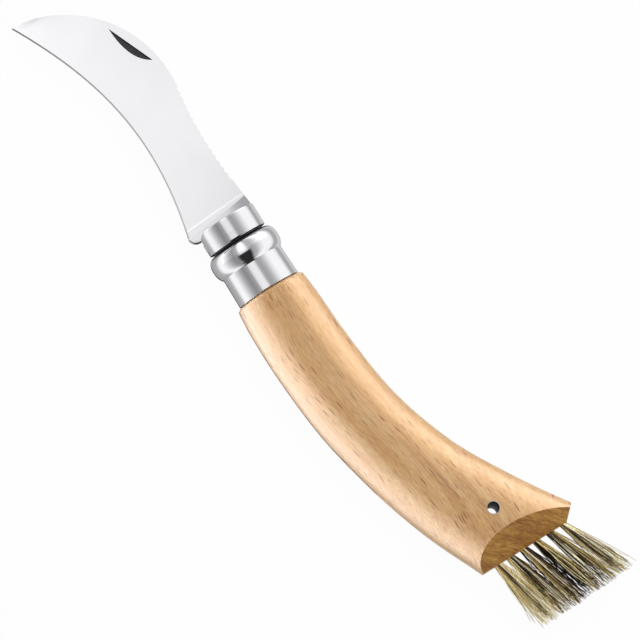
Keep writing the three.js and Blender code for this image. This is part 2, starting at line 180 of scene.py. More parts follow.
def plate(outline: Row, low: float, high: float) -> bmesh.types.BMesh:
    """Makes a flat outline a plate from z = low to z = high."""
    return skin([[Vector((p.x, p.y, z)) for p in outline] for z in (low, high)])


def turned(profile: Row, axis: Vector, centre: Vector, steps: int) -> bmesh.types.BMesh:
    """Turns a closed profile once round an axis.

    Args:
        profile: Points of the profile, which closes on itself.
        axis: Direction of the axis.
        centre: A point on the axis.
        steps: How many steps the turn is cut into.

    Returns:
        The turned mesh with its faces pointing out.
    """
    bm = bmesh.new()
    line = [bm.verts.new(point) for point in profile]
    edges = [bm.edges.new(pair) for pair in zip(line, line[1:] + line[:1])]
    bmesh.ops.spin(
        bm, geom=line + edges, cent=centre, axis=axis, angle=math.tau, steps=steps, use_merge=True
    )
    bmesh.ops.remove_doubles(bm, verts=bm.verts, dist=FIT_GAP * MM)
    bmesh.ops.recalc_face_normals(bm, faces=bm.faces)
    return bm


def upright(x: float, y: float, radius: float, half_length: float, sides: int) -> bmesh.types.BMesh:
    """Makes an upright round bar centred on the middle plane."""
    bm = bmesh.new()
    bmesh.ops.create_cone(
        bm,
        cap_ends=True,
        segments=sides,
        radius1=radius,
        radius2=radius,
        depth=2 * half_length,
        matrix=Matrix.Translation((x, y, 0)),
    )
    return bm


def drawn_object(
    name: str, bm: bmesh.types.BMesh, materials: list[bpy.types.Material]
) -> bpy.types.Object:
    """Makes an object of a bmesh, still in the drawing's millimetres, and frees the bmesh.

    Args:
        name: The object's name.
        bm: Its shape.
        materials: Its materials, in the order of the faces' indices.

    Returns:
        The object, linked to the scene.
    """
    mesh = bpy.data.meshes.new(name)
    for material in materials:
        mesh.materials.append(material)
    bm.to_mesh(mesh)
    bm.free()
    piece = bpy.data.objects.new(name, mesh)
    bpy.context.scene.collection.objects.link(piece)
    return piece


def apply_modifiers(piece: bpy.types.Object) -> None:
    """Makes what a piece's modifiers show its own mesh."""
    graph = bpy.context.evaluated_depsgraph_get()
    mesh = bpy.data.meshes.new_from_object(piece.evaluated_get(graph), depsgraph=graph)
    piece.modifiers.clear()
    piece.data = mesh


def cut(piece: bpy.types.Object, *tools: bmesh.types.BMesh, material: int = 0) -> None:
    """Cuts closed shapes out of a piece.

    Args:
        piece: The piece, in the drawing's millimetres.
        tools: The shapes that are cut away.
        material: Index of the material that the cut faces get.
    """
    for bm in tools:
        for face in bm.faces:
            face.material_index = material
        tool = drawn_object("tool", bm, list(piece.data.materials))
        modifier = piece.modifiers.new("cut", "BOOLEAN")
        modifier.object = tool
        modifier.solver = "EXACT"
        apply_modifiers(piece)
        bpy.data.objects.remove(tool)


def soften(piece: bpy.types.Object, width: float, angle: float, segments: int = 2) -> None:
    """Rounds the edges of a piece that are sharper than an angle.

    Args:
        piece: The piece, in the drawing's millimetres.
        width: Width of the rounding in millimetres.
        angle: Smallest angle, in degrees, that is rounded.
        segments: Steps across the rounding.
    """
    modifier = piece.modifiers.new("soften", "BEVEL")
    modifier.width = width
    modifier.segments = segments
    modifier.limit_method = "ANGLE"
    modifier.angle_limit = math.radians(angle)
    modifier.use_clamp_overlap = True
    modifier.miter_outer = "MITER_ARC"
    apply_modifiers(piece)


def recolour(piece: bpy.types.Object, material: int, chosen: Callable[[Vector, Vector], bool]) -> None:
    """Gives some faces of a piece another of its materials.

    Args:
        piece: The piece, in the drawing's millimetres.
        material: Index of the material.
        chosen: Says, from a face's centre and its normal, whether the face gets it.
    """
    for polygon in piece.data.polygons:
        if chosen(polygon.center, polygon.normal):
            polygon.material_index = material


def finish_piece(
    piece: bpy.types.Object,
    body: Body,
    nodes: list[str],
    sharp_angle: float = 30,
) -> bpy.types.Object:
    """Places a piece in the part's frame and says what it is.

    Args:
        piece: The piece, in the drawing's millimetres, with its materials.
        body: The body it rides on.
        nodes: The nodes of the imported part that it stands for.
        sharp_angle: Smallest angle, in degrees, that is shaded as an edge.

    Returns:
        The same piece.
    """
    piece.data.transform(PLACE)
    for polygon in piece.data.polygons:
        polygon.use_smooth = True
    piece.data.set_sharp_from_angle(angle=math.radians(sharp_angle))
    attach(piece, body.value)
    if nodes:
        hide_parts(*nodes)
    LOG.info("%s: %d faces", piece.name, len(piece.data.polygons))
    return piece


NodeInputs = dict[str | int, object]


def add_node(
    tree: bpy.types.NodeTree, kind: str, inputs: NodeInputs | None = None, **settings: object
) -> bpy.types.Node:
    """Adds a node with its settings, its links and the values of its sockets.

    Args:
        tree: The tree that gets the node.
        kind: The node's type.
        inputs: A socket to link from, or a value, for each input named or numbered.
        settings: Attributes of the node.

    Returns:
        The new node.
    """
    node = tree.nodes.new(kind)
    for name, value in settings.items():
        setattr(node, name, value)
    for key, value in (inputs or {}).items():
        if isinstance(value, bpy.types.NodeSocket):
            tree.links.new(value, node.inputs[key])
        else:
            node.inputs[key].default_value = value
    return node


def set_ramp(node: bpy.types.Node, stops: list[tuple[float, str]]) -> None:
    """Gives a colour ramp its stops, as places from 0 to 1 and sRGB colours."""
    elements = node.color_ramp.elements
    while len(elements) < len(stops):
        elements.new(0.5)
    for element, (place, colour) in zip(elements, stops):
        element.position = place
        element.color = linear(colour)


def new_material(name: str) -> tuple[bpy.types.Material, bpy.types.NodeTree]:
    """Makes an empty material and returns it with its node tree."""
    material = bpy.data.materials.new(name)
    material.use_nodes = True
    material.node_tree.nodes.clear()
    return material, material.node_tree


def drawn_place(tree: bpy.types.NodeTree) -> bpy.types.NodeSocket:
    """Adds nodes that give a point's place in the drawing's millimetres."""
    place = add_node(tree, "ShaderNodeTexCoord")
    inputs = {"Vector": place.outputs["Object"], "Location": -ORIGIN / MM, "Scale": (1 / MM,) * 3}
    return add_node(tree, "ShaderNodeMapping", inputs).outputs["Vector"]


def stretched(tree: bpy.types.NodeTree, place: bpy.types.NodeSocket, grain: tuple) -> bpy.types.NodeSocket:
    """Adds a node that scales a place in millimetres, so that a pattern has grains of a real size.

    Args:
        tree: The material's tree.
        place: The place in millimetres.
        grain: Length of one grain along X, Y and Z, in millimetres.

    Returns:
        The scaled place.
    """
    inputs = {"Vector": place, "Scale": tuple(1 / length for length in grain)}
    return add_node(tree, "ShaderNodeMapping", inputs).outputs["Vector"]


@dataclass(frozen=True)
class SteelFinish:
    """Stainless steel, from mirror polish to satin.

    The fine lines left by the belt or the wheel spread the gloss a little, and a faint
    cloudiness keeps broad faces from looking like glass.
    """

    name: str
    colour: str
    roughness: float
    cloud: float = 0.03
    cloud_length: float = 9.0
    line_pitch: tuple = (0.25, 6.0, 6.0)
    line_depth: float = 0.000006
    # Optional second colour across the drawing's Y: the first colour towards the spine, the second towards the
    # edge; a painted shade darkening the spine side
    unshaded_colour: str = ""
    shade_full_y: float = 6.8
    shade_clear_y: float = 1.0

    def build(self) -> bpy.types.Material:
        """Makes the material."""
        material, tree = new_material(self.name)
        place = drawn_place(tree)
        cloud = add_node(
            tree,
            "ShaderNodeTexNoise",
            {"Vector": stretched(tree, place, (self.cloud_length,) * 3), "Scale": 1.0, "Detail": 3.0},
        )
        lines = add_node(
            tree,
            "ShaderNodeTexNoise",
            {"Vector": stretched(tree, place, self.line_pitch), "Scale": 1.0, "Detail": 2.0},
        )
        rough = add_node(
            tree,
            "ShaderNodeMapRange",
            {
                "Value": cloud.outputs["Fac"],
                "To Min": self.roughness - self.cloud,
                "To Max": self.roughness + self.cloud,
            },
        )
        bump = add_node(
            tree,
            "ShaderNodeBump",
            {"Height": lines.outputs["Fac"], "Strength": 0.4, "Distance": self.line_depth},
        )
        colour = linear(self.colour)
        # Painted shade: the colour darkens towards the spine side across the drawing's Y
        if self.unshaded_colour:
            split = add_node(tree, "ShaderNodeSeparateXYZ", {"Vector": place})
            shade_ramp = add_node(
                tree,
                "ShaderNodeMapRange",
                {"Value": split.outputs["Y"], "From Min": self.shade_full_y, "From Max": self.shade_clear_y},
                interpolation_type="SMOOTHSTEP",
            )
            inputs = {"Factor": shade_ramp.outputs["Result"], 6: colour, 7: linear(self.unshaded_colour)}
            colour = add_node(tree, "ShaderNodeMix", inputs, data_type="RGBA").outputs[2]
        shader = add_node(
            tree,
            "ShaderNodeBsdfPrincipled",
            {
                "Base Color": colour,
                "Metallic": 1.0,
                "Roughness": rough.outputs["Result"],
                "Normal": bump.outputs["Normal"],
            },
        )
        add_node(tree, "ShaderNodeOutputMaterial", {"Surface": shader.outputs["BSDF"]})
        return material


@dataclass(frozen=True)
class BeechFinish:
    """European beech, turned, sanded and varnished.

    Straight fibres, soft growth bands and the short dark rays that mark the species, under a
    thin clear coat. Cut across, the same wood is darker and shows its pores.
    """

    name: str
    stops: tuple = ((0.1, "B4783A"), (0.4, "CF9A57"), (0.62, "DDAD6E"), (0.95, "F0CC98"))
    ray_colour: str = "8E4A02"
    ray_share: float = 0.62
    ray_cell: tuple = (7.2, 1.05, 7.0)
    ray_size: tuple = (2.1, 0.23, 2.8)
    fleck_share: float = 0.75
    fleck_cell: tuple = (3.4, 0.6, 3.2)
    fleck_size: tuple = (1.3, 0.13, 1.6)
    band_grain: tuple = (80.0, 2.6, 4.0)
    fibre_grain: tuple = (14.0, 0.5, 0.5)
    pore_grain: tuple = (2.6, 0.2, 0.2)
    cluster: tuple = (30.0, 5.0, 8.0)
    turn: float = 0.0
    bend_start: float = 34.0
    bend_end: float = 112.0
    bend_rise: float = 9.0
    roughness: float = 0.5
    ior: float = 1.3
    coat: float = 1.0
    coat_roughness: float = 0.42

    def grain_place(self, tree: bpy.types.NodeTree) -> bpy.types.NodeSocket:
        """Adds nodes that bend the drawing's place so that X runs along the fibres."""
        split = add_node(tree, "ShaderNodeSeparateXYZ", {"Vector": drawn_place(tree)})
        bend = add_node(
            tree,
            "ShaderNodeMapRange",
            {
                "Value": split.outputs["X"],
                "From Min": self.bend_start,
                "From Max": self.bend_end,
                "To Max": self.bend_rise,
            },
            interpolation_type="SMOOTHSTEP",
        )
        lowered = add_node(
            tree,
            "ShaderNodeMath",
            {0: split.outputs["Y"], 1: bend.outputs["Result"]},
            operation="SUBTRACT",
        )
        straight = add_node(
            tree,
            "ShaderNodeCombineXYZ",
            {"X": split.outputs["X"], "Y": lowered.outputs["Value"], "Z": split.outputs["Z"]},
        ).outputs["Vector"]
        wander = add_node(
            tree,
            "ShaderNodeTexNoise",
            {"Vector": stretched(tree, straight, (34.0, 11.0, 11.0)), "Scale": 1.0, "Detail": 1.0},
        )
        centred = add_node(
            tree,
            "ShaderNodeVectorMath",
            {0: wander.outputs["Color"], 1: (0.5, 0.5, 0.5)},
            operation="SUBTRACT",
        )
        bowed = add_node(
            tree,
            "ShaderNodeVectorMath",
            {0: centred.outputs["Vector"], 1: (0.0, 3.4, 3.4), 2: straight},
            operation="MULTIPLY_ADD",
        )
        inputs = {"Vector": bowed.outputs["Vector"], "Rotation": (0.0, 0.0, -self.turn)}
        return add_node(tree, "ShaderNodeMapping", inputs).outputs["Vector"]

    def dashes(
        self, tree: bpy.types.NodeTree, place: bpy.types.NodeSocket, cell: tuple, size: tuple, share: float
    ) -> bpy.types.NodeSocket:
        """Adds nodes that draw short dashes along the fibres.

        Args:
            tree: The material's tree.
            place: The place along the fibres, in millimetres.
            cell: Room that each dash has along X, Y and Z, in millimetres.
            size: Half the size of a dash, in millimetres.
            share: Share of the cells that have a dash.

        Returns:
            1 inside a dash and 0 outside.
        """
        scaled = stretched(tree, place, cell)
        cells = add_node(tree, "ShaderNodeTexVoronoi", {"Vector": scaled, "Scale": 1.0})
        offset = add_node(
            tree,
            "ShaderNodeVectorMath",
            {0: scaled, 1: cells.outputs["Position"]},
            operation="SUBTRACT",
        )
        shaped = add_node(
            tree,
            "ShaderNodeVectorMath",
            {0: offset.outputs["Vector"], 1: tuple(c / s for c, s in zip(cell, size))},
            operation="MULTIPLY",
        )
        distance = add_node(
            tree, "ShaderNodeVectorMath", {0: shaped.outputs["Vector"]}, operation="LENGTH"
        )
        draw = add_node(tree, "ShaderNodeSeparateColor", {"Color": cells.outputs["Color"]})
        edge = add_node(
            tree,
            "ShaderNodeMapRange",
            {"Value": distance.outputs["Value"], "From Min": 1.0, "From Max": 0.5},
            interpolation_type="SMOOTHSTEP",
        )
        present = add_node(
            tree,
            "ShaderNodeMapRange",
            {"Value": draw.outputs["Red"], "From Min": share, "From Max": share - 0.12},
        )
        return add_node(
            tree,
            "ShaderNodeMath",
            {0: edge.outputs["Result"], 1: present.outputs["Result"]},
            operation="MULTIPLY",
        ).outputs["Value"]

    def grain(
        self, tree: bpy.types.NodeTree, place: bpy.types.NodeSocket, length: tuple, detail: float
    ) -> bpy.types.NodeSocket:
        """Adds a stretched noise.

        Args:
            tree: The material's tree.
            place: The place along the fibres, in millimetres.
            length: Length of one grain along X, Y and Z, in millimetres.
            detail: How many finer copies it has.

        Returns:
            The noise, spread over 0 to 1.
        """
        inputs = {"Vector": stretched(tree, place, length), "Scale": 1.0, "Detail": detail}
        noise = add_node(tree, "ShaderNodeTexNoise", inputs)
        inputs = {"Value": noise.outputs["Fac"], "From Min": 0.28, "From Max": 0.72}
        return add_node(tree, "ShaderNodeMapRange", inputs).outputs["Result"]

    def build(self) -> bpy.types.Material:
        """Makes the material."""
        material, tree = new_material(self.name)
        place = self.grain_place(tree)
        bands = self.grain(tree, place, self.band_grain, 2.0)
        fibres = self.grain(tree, place, self.fibre_grain, 3.0)
        pores = self.grain(tree, place, self.pore_grain, 1.0)
        inputs = {"Factor": 0.5, 2: bands, 3: fibres}
        broad = add_node(tree, "ShaderNodeMix", inputs, data_type="FLOAT")
        inputs = {"Factor": 0.34, 2: broad.outputs[0], 3: pores}
        mixed = add_node(tree, "ShaderNodeMix", inputs, data_type="FLOAT")
        ramp = add_node(tree, "ShaderNodeValToRGB", {"Fac": mixed.outputs[0]})
        set_ramp(ramp, list(self.stops))
        rays = self.dashes(tree, place, self.ray_cell, self.ray_size, self.ray_share)
        flecks = self.dashes(tree, place, self.fleck_cell, self.fleck_size, self.fleck_share)
        faint = add_node(tree, "ShaderNodeMath", {0: flecks, 1: 0.5}, operation="MULTIPLY")
        dashes = add_node(
            tree,
            "ShaderNodeMath",
            {0: rays, 1: faint.outputs["Value"]},
            operation="MAXIMUM",
        )
        inputs = {0: self.grain(tree, place, self.cluster, 0.0), 1: 1.0, 2: 0.45}
        density = add_node(tree, "ShaderNodeMath", inputs, operation="MULTIPLY_ADD", use_clamp=True)
        inputs = {0: dashes.outputs["Value"], 1: density.outputs["Value"]}
        dark = add_node(tree, "ShaderNodeMath", inputs, operation="MULTIPLY")
        wood = add_node(
            tree,
            "ShaderNodeMix",
            {"Factor": dark.outputs["Value"], 6: ramp.outputs["Color"], 7: linear(self.ray_colour)},
            data_type="RGBA",
        )
        bump = add_node(
            tree,
            "ShaderNodeBump",
            {"Height": pores, "Strength": 0.6, "Distance": 0.00004},
        )
        shader = add_node(
            tree,
            "ShaderNodeBsdfPrincipled",
            {
                "Base Color": wood.outputs[2],
                "Roughness": self.roughness,
                "IOR": self.ior,
                "Coat Weight": self.coat,
                "Coat Roughness": self.coat_roughness,
                "Normal": bump.outputs["Normal"],
            },
        )
        add_node(tree, "ShaderNodeOutputMaterial", {"Surface": shader.outputs["BSDF"]})
        return material


@dataclass(frozen=True)
class BristleFinish:
    """Boar bristle: stiff natural hair from straw to black, with a waxy gloss."""

    name: str = "boar_bristle_natural"
    tone: str = "tone"

    def build(self) -> bpy.types.Material:
        """Makes the material, which reads each hair's own colour."""
        material, tree = new_material(self.name)
        colour = add_node(tree, "ShaderNodeAttribute", attribute_name=self.tone)
        streaks = add_node(
            tree,
            "ShaderNodeTexNoise",
            {"Vector": stretched(tree, drawn_place(tree), (3.0, 0.22, 0.22)), "Scale": 1.0},
        )
        shade = add_node(
            tree,
            "ShaderNodeMapRange",
            {"Value": streaks.outputs["Fac"], "From Min": 0.3, "From Max": 0.7, "To Min": 0.65, "To Max": 1.6},
        )
        tinted = add_node(
            tree,
            "ShaderNodeVectorMath",
            {0: colour.outputs["Color"], "Scale": shade.outputs["Result"]},
            operation="SCALE",
        )
        shader = add_node(
            tree,
            "ShaderNodeBsdfPrincipled",
            {"Base Color": tinted.outputs["Vector"], "Roughness": 0.32, "IOR": 1.55},
        )
        add_node(tree, "ShaderNodeOutputMaterial", {"Surface": shader.outputs["BSDF"]})
        return material


@dataclass
class Blade:
    """The curved blade, with its tang, grinds, scallops and nail nick."""

    reach: float = 80.65
    point_drop: float = 21.9
    point_blunt: float = 1.1
    crest_at: float = 46.7
    crest_rise: float = 9.2
    shoulder_at: float = 3.6
    shoulder_rise: float = 8.65
    hollow_rise: float = 5.7
    heel_drop: float = 11.65
    heel_radius: float = 2.4
    heel_back: float = 1.4
    tang_radius: float = 5.2
    tang_half: float = 0.85
    pivot: Vector = field(default_factory=lambda: Vector((0.5, -2.4, 0)))
    pin_radius: float = 1.5
    fold_angle: float = math.radians(173)
    edge_half: float = 0.03
    grind_edge_half: float = 0.15
    spine_half: float = 0.78
    point_half: float = 0.35
    steepest_grind: float = 0.045
    edge_bevel: float = 0.42
    heel_bevel: float = 0.17
    plunge_at_spine: float = 6.2
    plunge_at_edge: float = 3.2
    plunge_along_spine: float = 0.55
    plunge_along_edge: float = 2.6
    scallop_count: int = 15
    scallop_depth: float = 0.42
    scallop_shares: tuple = (0.1, 0.81)
    nick_tip: Vector = field(default_factory=lambda: Vector((-66.3, 1.2, 0)))
    nick_root: Vector = field(default_factory=lambda: Vector((-52.3, 7.0, 0)))
    nick_bulge: float = 2.05
    nick_belly: float = 0.66
    nick_depth: float = 0.42
    steps: int = 90

    def heel_centre(self) -> Vector:
        """Returns the middle of the heel's rounding."""
        return Vector((-(self.heel_back + self.heel_radius), -(self.heel_drop - self.heel_radius), 0))

    def edge_curve(self, steps: int) -> Row:
        """Returns the cutting edge from the heel to the point."""
        start = self.heel_centre().x - FIT_GAP
        return bezier(
            [
                (start, -self.heel_drop),
                (-0.41 * self.reach, -0.18 * self.point_drop),
                (-0.68 * self.reach, -0.38 * self.point_drop),
                (-self.reach, -self.point_drop),
            ],
            steps,
        )

    def brow_curve(self, steps: int) -> Row:
        """Returns the spine from its crest to the point."""
        return bezier(
            [
                (-self.crest_at, self.crest_rise),
                (-0.841 * self.reach, self.crest_rise),
                (-0.995 * self.reach, -0.37 * self.point_drop),
                (-self.reach, -(self.point_drop - self.point_blunt)),
            ],
            steps,
        )

    def hollow_curve(self, steps: int) -> Row:
        """Returns the spine from the shoulder to its crest."""
        return bezier(
            [
                (-self.shoulder_at, self.shoulder_rise),
                (-0.69 * self.crest_at, self.hollow_rise),
                (-0.81 * self.crest_at, self.crest_rise),
                (-self.crest_at, self.crest_rise),
            ],
            steps,
        )

    def scalloped_spine(self) -> Row:
        """Returns the spine from the shoulder to its crest, with its scallops."""
        row = self.hollow_curve(4 * self.steps)
        runs = [0.0]
        for a, b in zip(row, row[1:]):
            runs.append(runs[-1] + (b - a).length)
        first, last = (1 - share for share in reversed(self.scallop_shares))
        points = []
        for point, run in zip(row, runs):
            share = (run / runs[-1] - first) / (last - first)
            dip = abs(math.sin(math.pi * share * self.scallop_count)) if 0 < share < 1 else 0.0
            points.append(point - Vector((0, self.scallop_depth * dip, 0)))
        return points

    def outline(self) -> Row:
        """Returns the whole outline of the blade and its tang."""
        quarter = math.pi / 2
        return [
            Vector((-self.heel_back, self.pivot.y - self.tang_radius, 0)),
            *arc(self.pivot, self.tang_radius, -quarter, quarter, 32),
            Vector((-self.shoulder_at, self.pivot.y + self.tang_radius, 0)),
            *self.scalloped_spine(),
            *self.brow_curve(self.steps)[1:],
            *reversed(self.edge_curve(2 * self.steps)),
            *arc(self.heel_centre(), self.heel_radius, -quarter, 0, 14),
        ]

    def grind(self, side: int) -> bmesh.types.BMesh:
        """Makes the body ground away from one face, down from the plunge line to the edge.

        Args:
            side: 1 for the upper face and -1 for the lower one.
        """
        edge = self.edge_curve(self.steps)
        spine = self.hollow_curve(self.steps) + self.brow_curve(self.steps)[1:]
        lift = self.tang_half + OVERRUN
        end = -(self.reach + OVERRUN)
        across = 8
        rows = []

        def add_row(edge_x: float, spine_x: float, low_half: float, high_half: float) -> None:
            low = Vector((edge_x, height_at(edge, edge_x), low_half))
            high = Vector((spine_x, height_at(spine, spine_x), high_half))
            high.z = min(high.z, low.z + self.steepest_grind * (high.y - low.y) + self.tang_half / 40)
            reach = (high - low) * (OVERRUN / max(high.y - low.y, OVERRUN))
            low, high = low - reach, high + reach
            bottom = [low.lerp(high, i / across) for i in range(across + 1)]
            ring = bottom + [Vector((high.x, high.y, lift)), Vector((low.x, low.y, lift))]
            rows.append([Vector((p.x, p.y, side * p.z)) for p in ring])

        for i in range(7):
            share = smooth_step(0, 6, i)
            add_row(
                -(self.plunge_at_edge + self.plunge_along_edge * i / 6),
                -(self.plunge_at_spine + self.plunge_along_spine * i / 6),
                lerp(self.tang_half, self.grind_edge_half, share),
                lerp(self.tang_half, self.spine_half, share),
            )
        for i in range(1, self.steps + 1):
            share = i / self.steps
            add_row(
                lerp(-(self.plunge_at_edge + self.plunge_along_edge), end, share),
                lerp(-(self.plunge_at_spine + self.plunge_along_spine), end, share),
                self.grind_edge_half,
                lerp(self.spine_half, self.point_half, share),
            )
        return skin(rows)

    def bevel_cut(self, path: Row, side: int, half: float, depth: float) -> bmesh.types.BMesh:
        """Makes the sliver taken off along one face's rim.

        Args:
            path: The rim, with the blade on the left of its direction.
            side: 1 for the upper face and -1 for the lower one.
            half: Height of that face over the middle plane.
            depth: How much lower the bevel is at the rim.
        """
        slope = depth / self.edge_bevel
        lift = self.tang_half + OVERRUN
        rows = []
        for i, point in enumerate(path):
            along = path[min(i + 1, len(path) - 1)] - path[max(i - 1, 0)]
            inward = Vector((along.y, -along.x, 0)).normalized()
            corners = (
                (self.edge_bevel, half),
                (-OVERRUN, half - depth - slope * OVERRUN),
                (-OVERRUN, lift),
                (self.edge_bevel, lift),
            )
            rows.append([point + inward * reach + Vector((0, 0, side * z)) for reach, z in corners])
        return skin(rows)

    def edge_bevel_cut(self, side: int) -> bmesh.types.BMesh:
        """Makes the sliver honed away along the cutting edge of one face."""
        edge = self.edge_curve(self.steps)
        edge.append(edge[-1] + (edge[-1] - edge[-2]).normalized() * OVERRUN)
        return self.bevel_cut(edge, side, self.grind_edge_half, self.grind_edge_half - self.edge_half)

    def heel_bevel_cut(self, side: int) -> bmesh.types.BMesh:
        """Makes the sliver taken off round the heel of one face, where the blade isn't ground."""
        heel = arc(self.heel_centre(), self.heel_radius, 0.2, -math.pi / 2, 16)
        return self.bevel_cut(heel, side, self.tang_half, self.heel_bevel)

    def nail_nick(self) -> bmesh.types.BMesh:
        """Makes the nail nick: straight and deep along its upper side, rising to a curved side."""
        along = (self.nick_root - self.nick_tip).normalized()
        down = Vector((along.y, -along.x, 0))
        belly = self.nick_tip.lerp(self.nick_root, self.nick_belly) + 2 * self.nick_bulge * down
        count = 24
        shares = [i / count for i in range(count + 1)]
        curve = [
            self.nick_tip * (1 - s) ** 2 + belly * 2 * s * (1 - s) + self.nick_root * s**2 for s in shares
        ]
        face = lerp(self.spine_half, self.point_half, 0.75) * 0.86
        bm = plate(curve, face - self.nick_depth, self.tang_half + OVERRUN)
        for vert in bm.verts:
            if vert.co.z < face:
                away = (vert.co - self.nick_tip).dot(down)
                vert.co.z += 0.8 * self.nick_depth * away / self.nick_bulge
        return bm

    def folded(self, point: Vector) -> Vector:
        """Returns where a point of the open blade lies when the blade is closed."""
        return self.pivot + Matrix.Rotation(self.fold_angle, 3, "Z") @ (point - self.pivot)

    def slot(self, half: float, drop: float, front: float) -> bmesh.types.BMesh:
        """Makes the space that the closed blade needs in the collar and the handle.

        Args:
            half: Half the width of the slot.
            drop: How far below the axis the slot is drawn.
            front: How far ahead of the origin it starts.
        """
        heel = self.folded(self.heel_centre())
        pocket = self.heel_radius + SLOT_ROOF_GAP / 2
        roof = [self.folded(p) + Vector((0, SLOT_ROOF_GAP, 0)) for p in self.edge_curve(60)]
        point = self.folded(Vector((-self.reach, -self.point_drop, 0))) - self.pivot
        reach = point.length + SLOT_ROOF_GAP
        tang_top = self.pivot.y + self.tang_radius + FIT_GAP
        angle = math.atan2(point.y, point.x)
        outline = [
            Vector((-front, -drop, 0)),
            Vector((-front, tang_top, 0)),
            Vector((heel.x - pocket, tang_top, 0)),
            *arc(heel, pocket, math.pi, math.pi / 2, 14),
            *roof,
            *arc(self.pivot, reach, angle, math.asin((-drop - self.pivot.y) / reach), 16),
        ]
        return plate(outline, -half, half)

    def on_plunge(self, centre: Vector, normal: Vector) -> bool:
        """Says whether a face lies on the short slope between the tang and the grind."""
        ahead = -(self.plunge_at_spine + self.plunge_along_spine + FIT_GAP)
        return centre.x > ahead and normal.x < -0.02 and abs(normal.z) > 0.6

    def build(
        self,
        steel: bpy.types.Material,
        nick: bpy.types.Material,
        rolled: bpy.types.Material,
        step: bpy.types.Material,
    ) -> bpy.types.Object:
        """Builds the blade and dresses it.

        Args:
            steel: Satin steel of the ground faces.
            nick: Steel of the nail nick, darkened as painted shade and painted reflection.
            rolled: Duller steel of the faces that aren't ground, darkened towards the spine as painted shade.
            step: Steel of the short slope where the grind starts.

        Returns:
            The blade's object.
        """
        blank = plate(self.outline(), -self.tang_half, self.tang_half)
        piece = drawn_object("blade_curved", blank, [steel, nick, rolled, step])
        cut(piece, self.heel_bevel_cut(1), self.heel_bevel_cut(-1))
        cut(piece, self.grind(1), self.grind(-1))
        cut(piece, self.edge_bevel_cut(1), self.edge_bevel_cut(-1))
        hole = upright(self.pivot.x, self.pivot.y, self.pin_radius + FIT_GAP, OVERRUN, 48)
        cut(piece, hole)
        # The nick's faces get the dark steel: painted shade and painted reflection
        cut(piece, self.nail_nick(), material=1)
        recolour(piece, 2, lambda centre, normal: abs(normal.z) > 0.9999 and abs(centre.z) > 0.84)
        recolour(piece, 3, self.on_plunge)
        return finish_piece(piece, Body.BLADE, ["blade"], 12)


@dataclass
class LockingRing:
    """The open ring that turns on the sleeve and locks the blade."""

    front: float = 3.3
    back: float = 3.5
    radius: float = 9.05
    wall: float = 0.9
    gap_half: float = 1.5
    edge_round: float = 0.22
    fall_from: float = 0.9
    fall: float = 0.05
    near_relief: float = 1.4
    near_angle: float = math.radians(27)
    cam_low: float = 2.85
    cam_high: float = 2.0
    cam_angle: float = math.radians(96)
    rise_angle: float = math.radians(24)
    steps: int = 150

    def relief(self, angle: float, half_gap: float) -> float:
        """Returns how far the front edge is cut back at an angle from the gap."""
        past = angle - half_gap
        left = math.tau - half_gap - angle
        rise = past - self.cam_angle
        if rise < 0:
            return lerp(self.cam_low, self.cam_high, past / self.cam_angle)
        if rise < self.rise_angle:
            return self.cam_high * (1 - smooth_step(0, self.rise_angle, rise))
        return self.near_relief * max(0.0, 1 - left / self.near_angle)

    def section(self, front: float) -> list[tuple[float, float]]:
        """Returns the ring's section as places along the axis and radii."""
        inner, outer, edge = self.radius - self.wall, self.radius, self.edge_round
        corner = edge * (1 - math.sqrt(0.5))
        return [
            (front + corner, inner),
            (front, inner + corner),
            (front, outer - edge),
            (front + corner, outer - corner),
            (front + edge, outer),
            (front + 2 * edge, outer),
            (self.fall_from, outer),
            (self.fall_from + edge, outer - self.fall / 8),
            (self.back - 2 * edge, outer - self.fall),
            (self.back - edge, outer - self.fall),
            (self.back - corner, outer - self.fall - corner),
            (self.back, outer - self.fall - edge),
            (self.back, inner + corner),
            (self.back - corner, inner),
        ]

    def build(self, steel: bpy.types.Material, shaded: bpy.types.Material) -> bpy.types.Object:
        """Builds the ring and dresses it.

        Args:
            steel: Polished steel of the outside.
            shaded: Steel darkened as painted shade, on the inside and the two ends.

        Returns:
            The ring's object.
        """
        half_gap = math.asin(self.gap_half / self.radius)
        rows = []
        for i in range(self.steps + 1):
            angle = lerp(half_gap, math.tau - half_gap, i / self.steps)
            front = -self.front + self.relief(angle, half_gap)
            turn = Matrix.Rotation(angle, 3, AXIS)
            rows.append([turn @ Vector((x, -radius, 0)) for x, radius in self.section(front)])
        piece = drawn_object("locking_ring_turned", skin(rows), [steel, shaded])
        soften(piece, 0.12, 60)
        # Painted shade: the ring's ends and its inside get the dark steel
        recolour(piece, 1, lambda centre, normal: abs(normal.x) > 0.6 or centre.yz.dot(normal.yz) < -1)
        return finish_piece(piece, Body.RING, ["locking_ring"], 35)


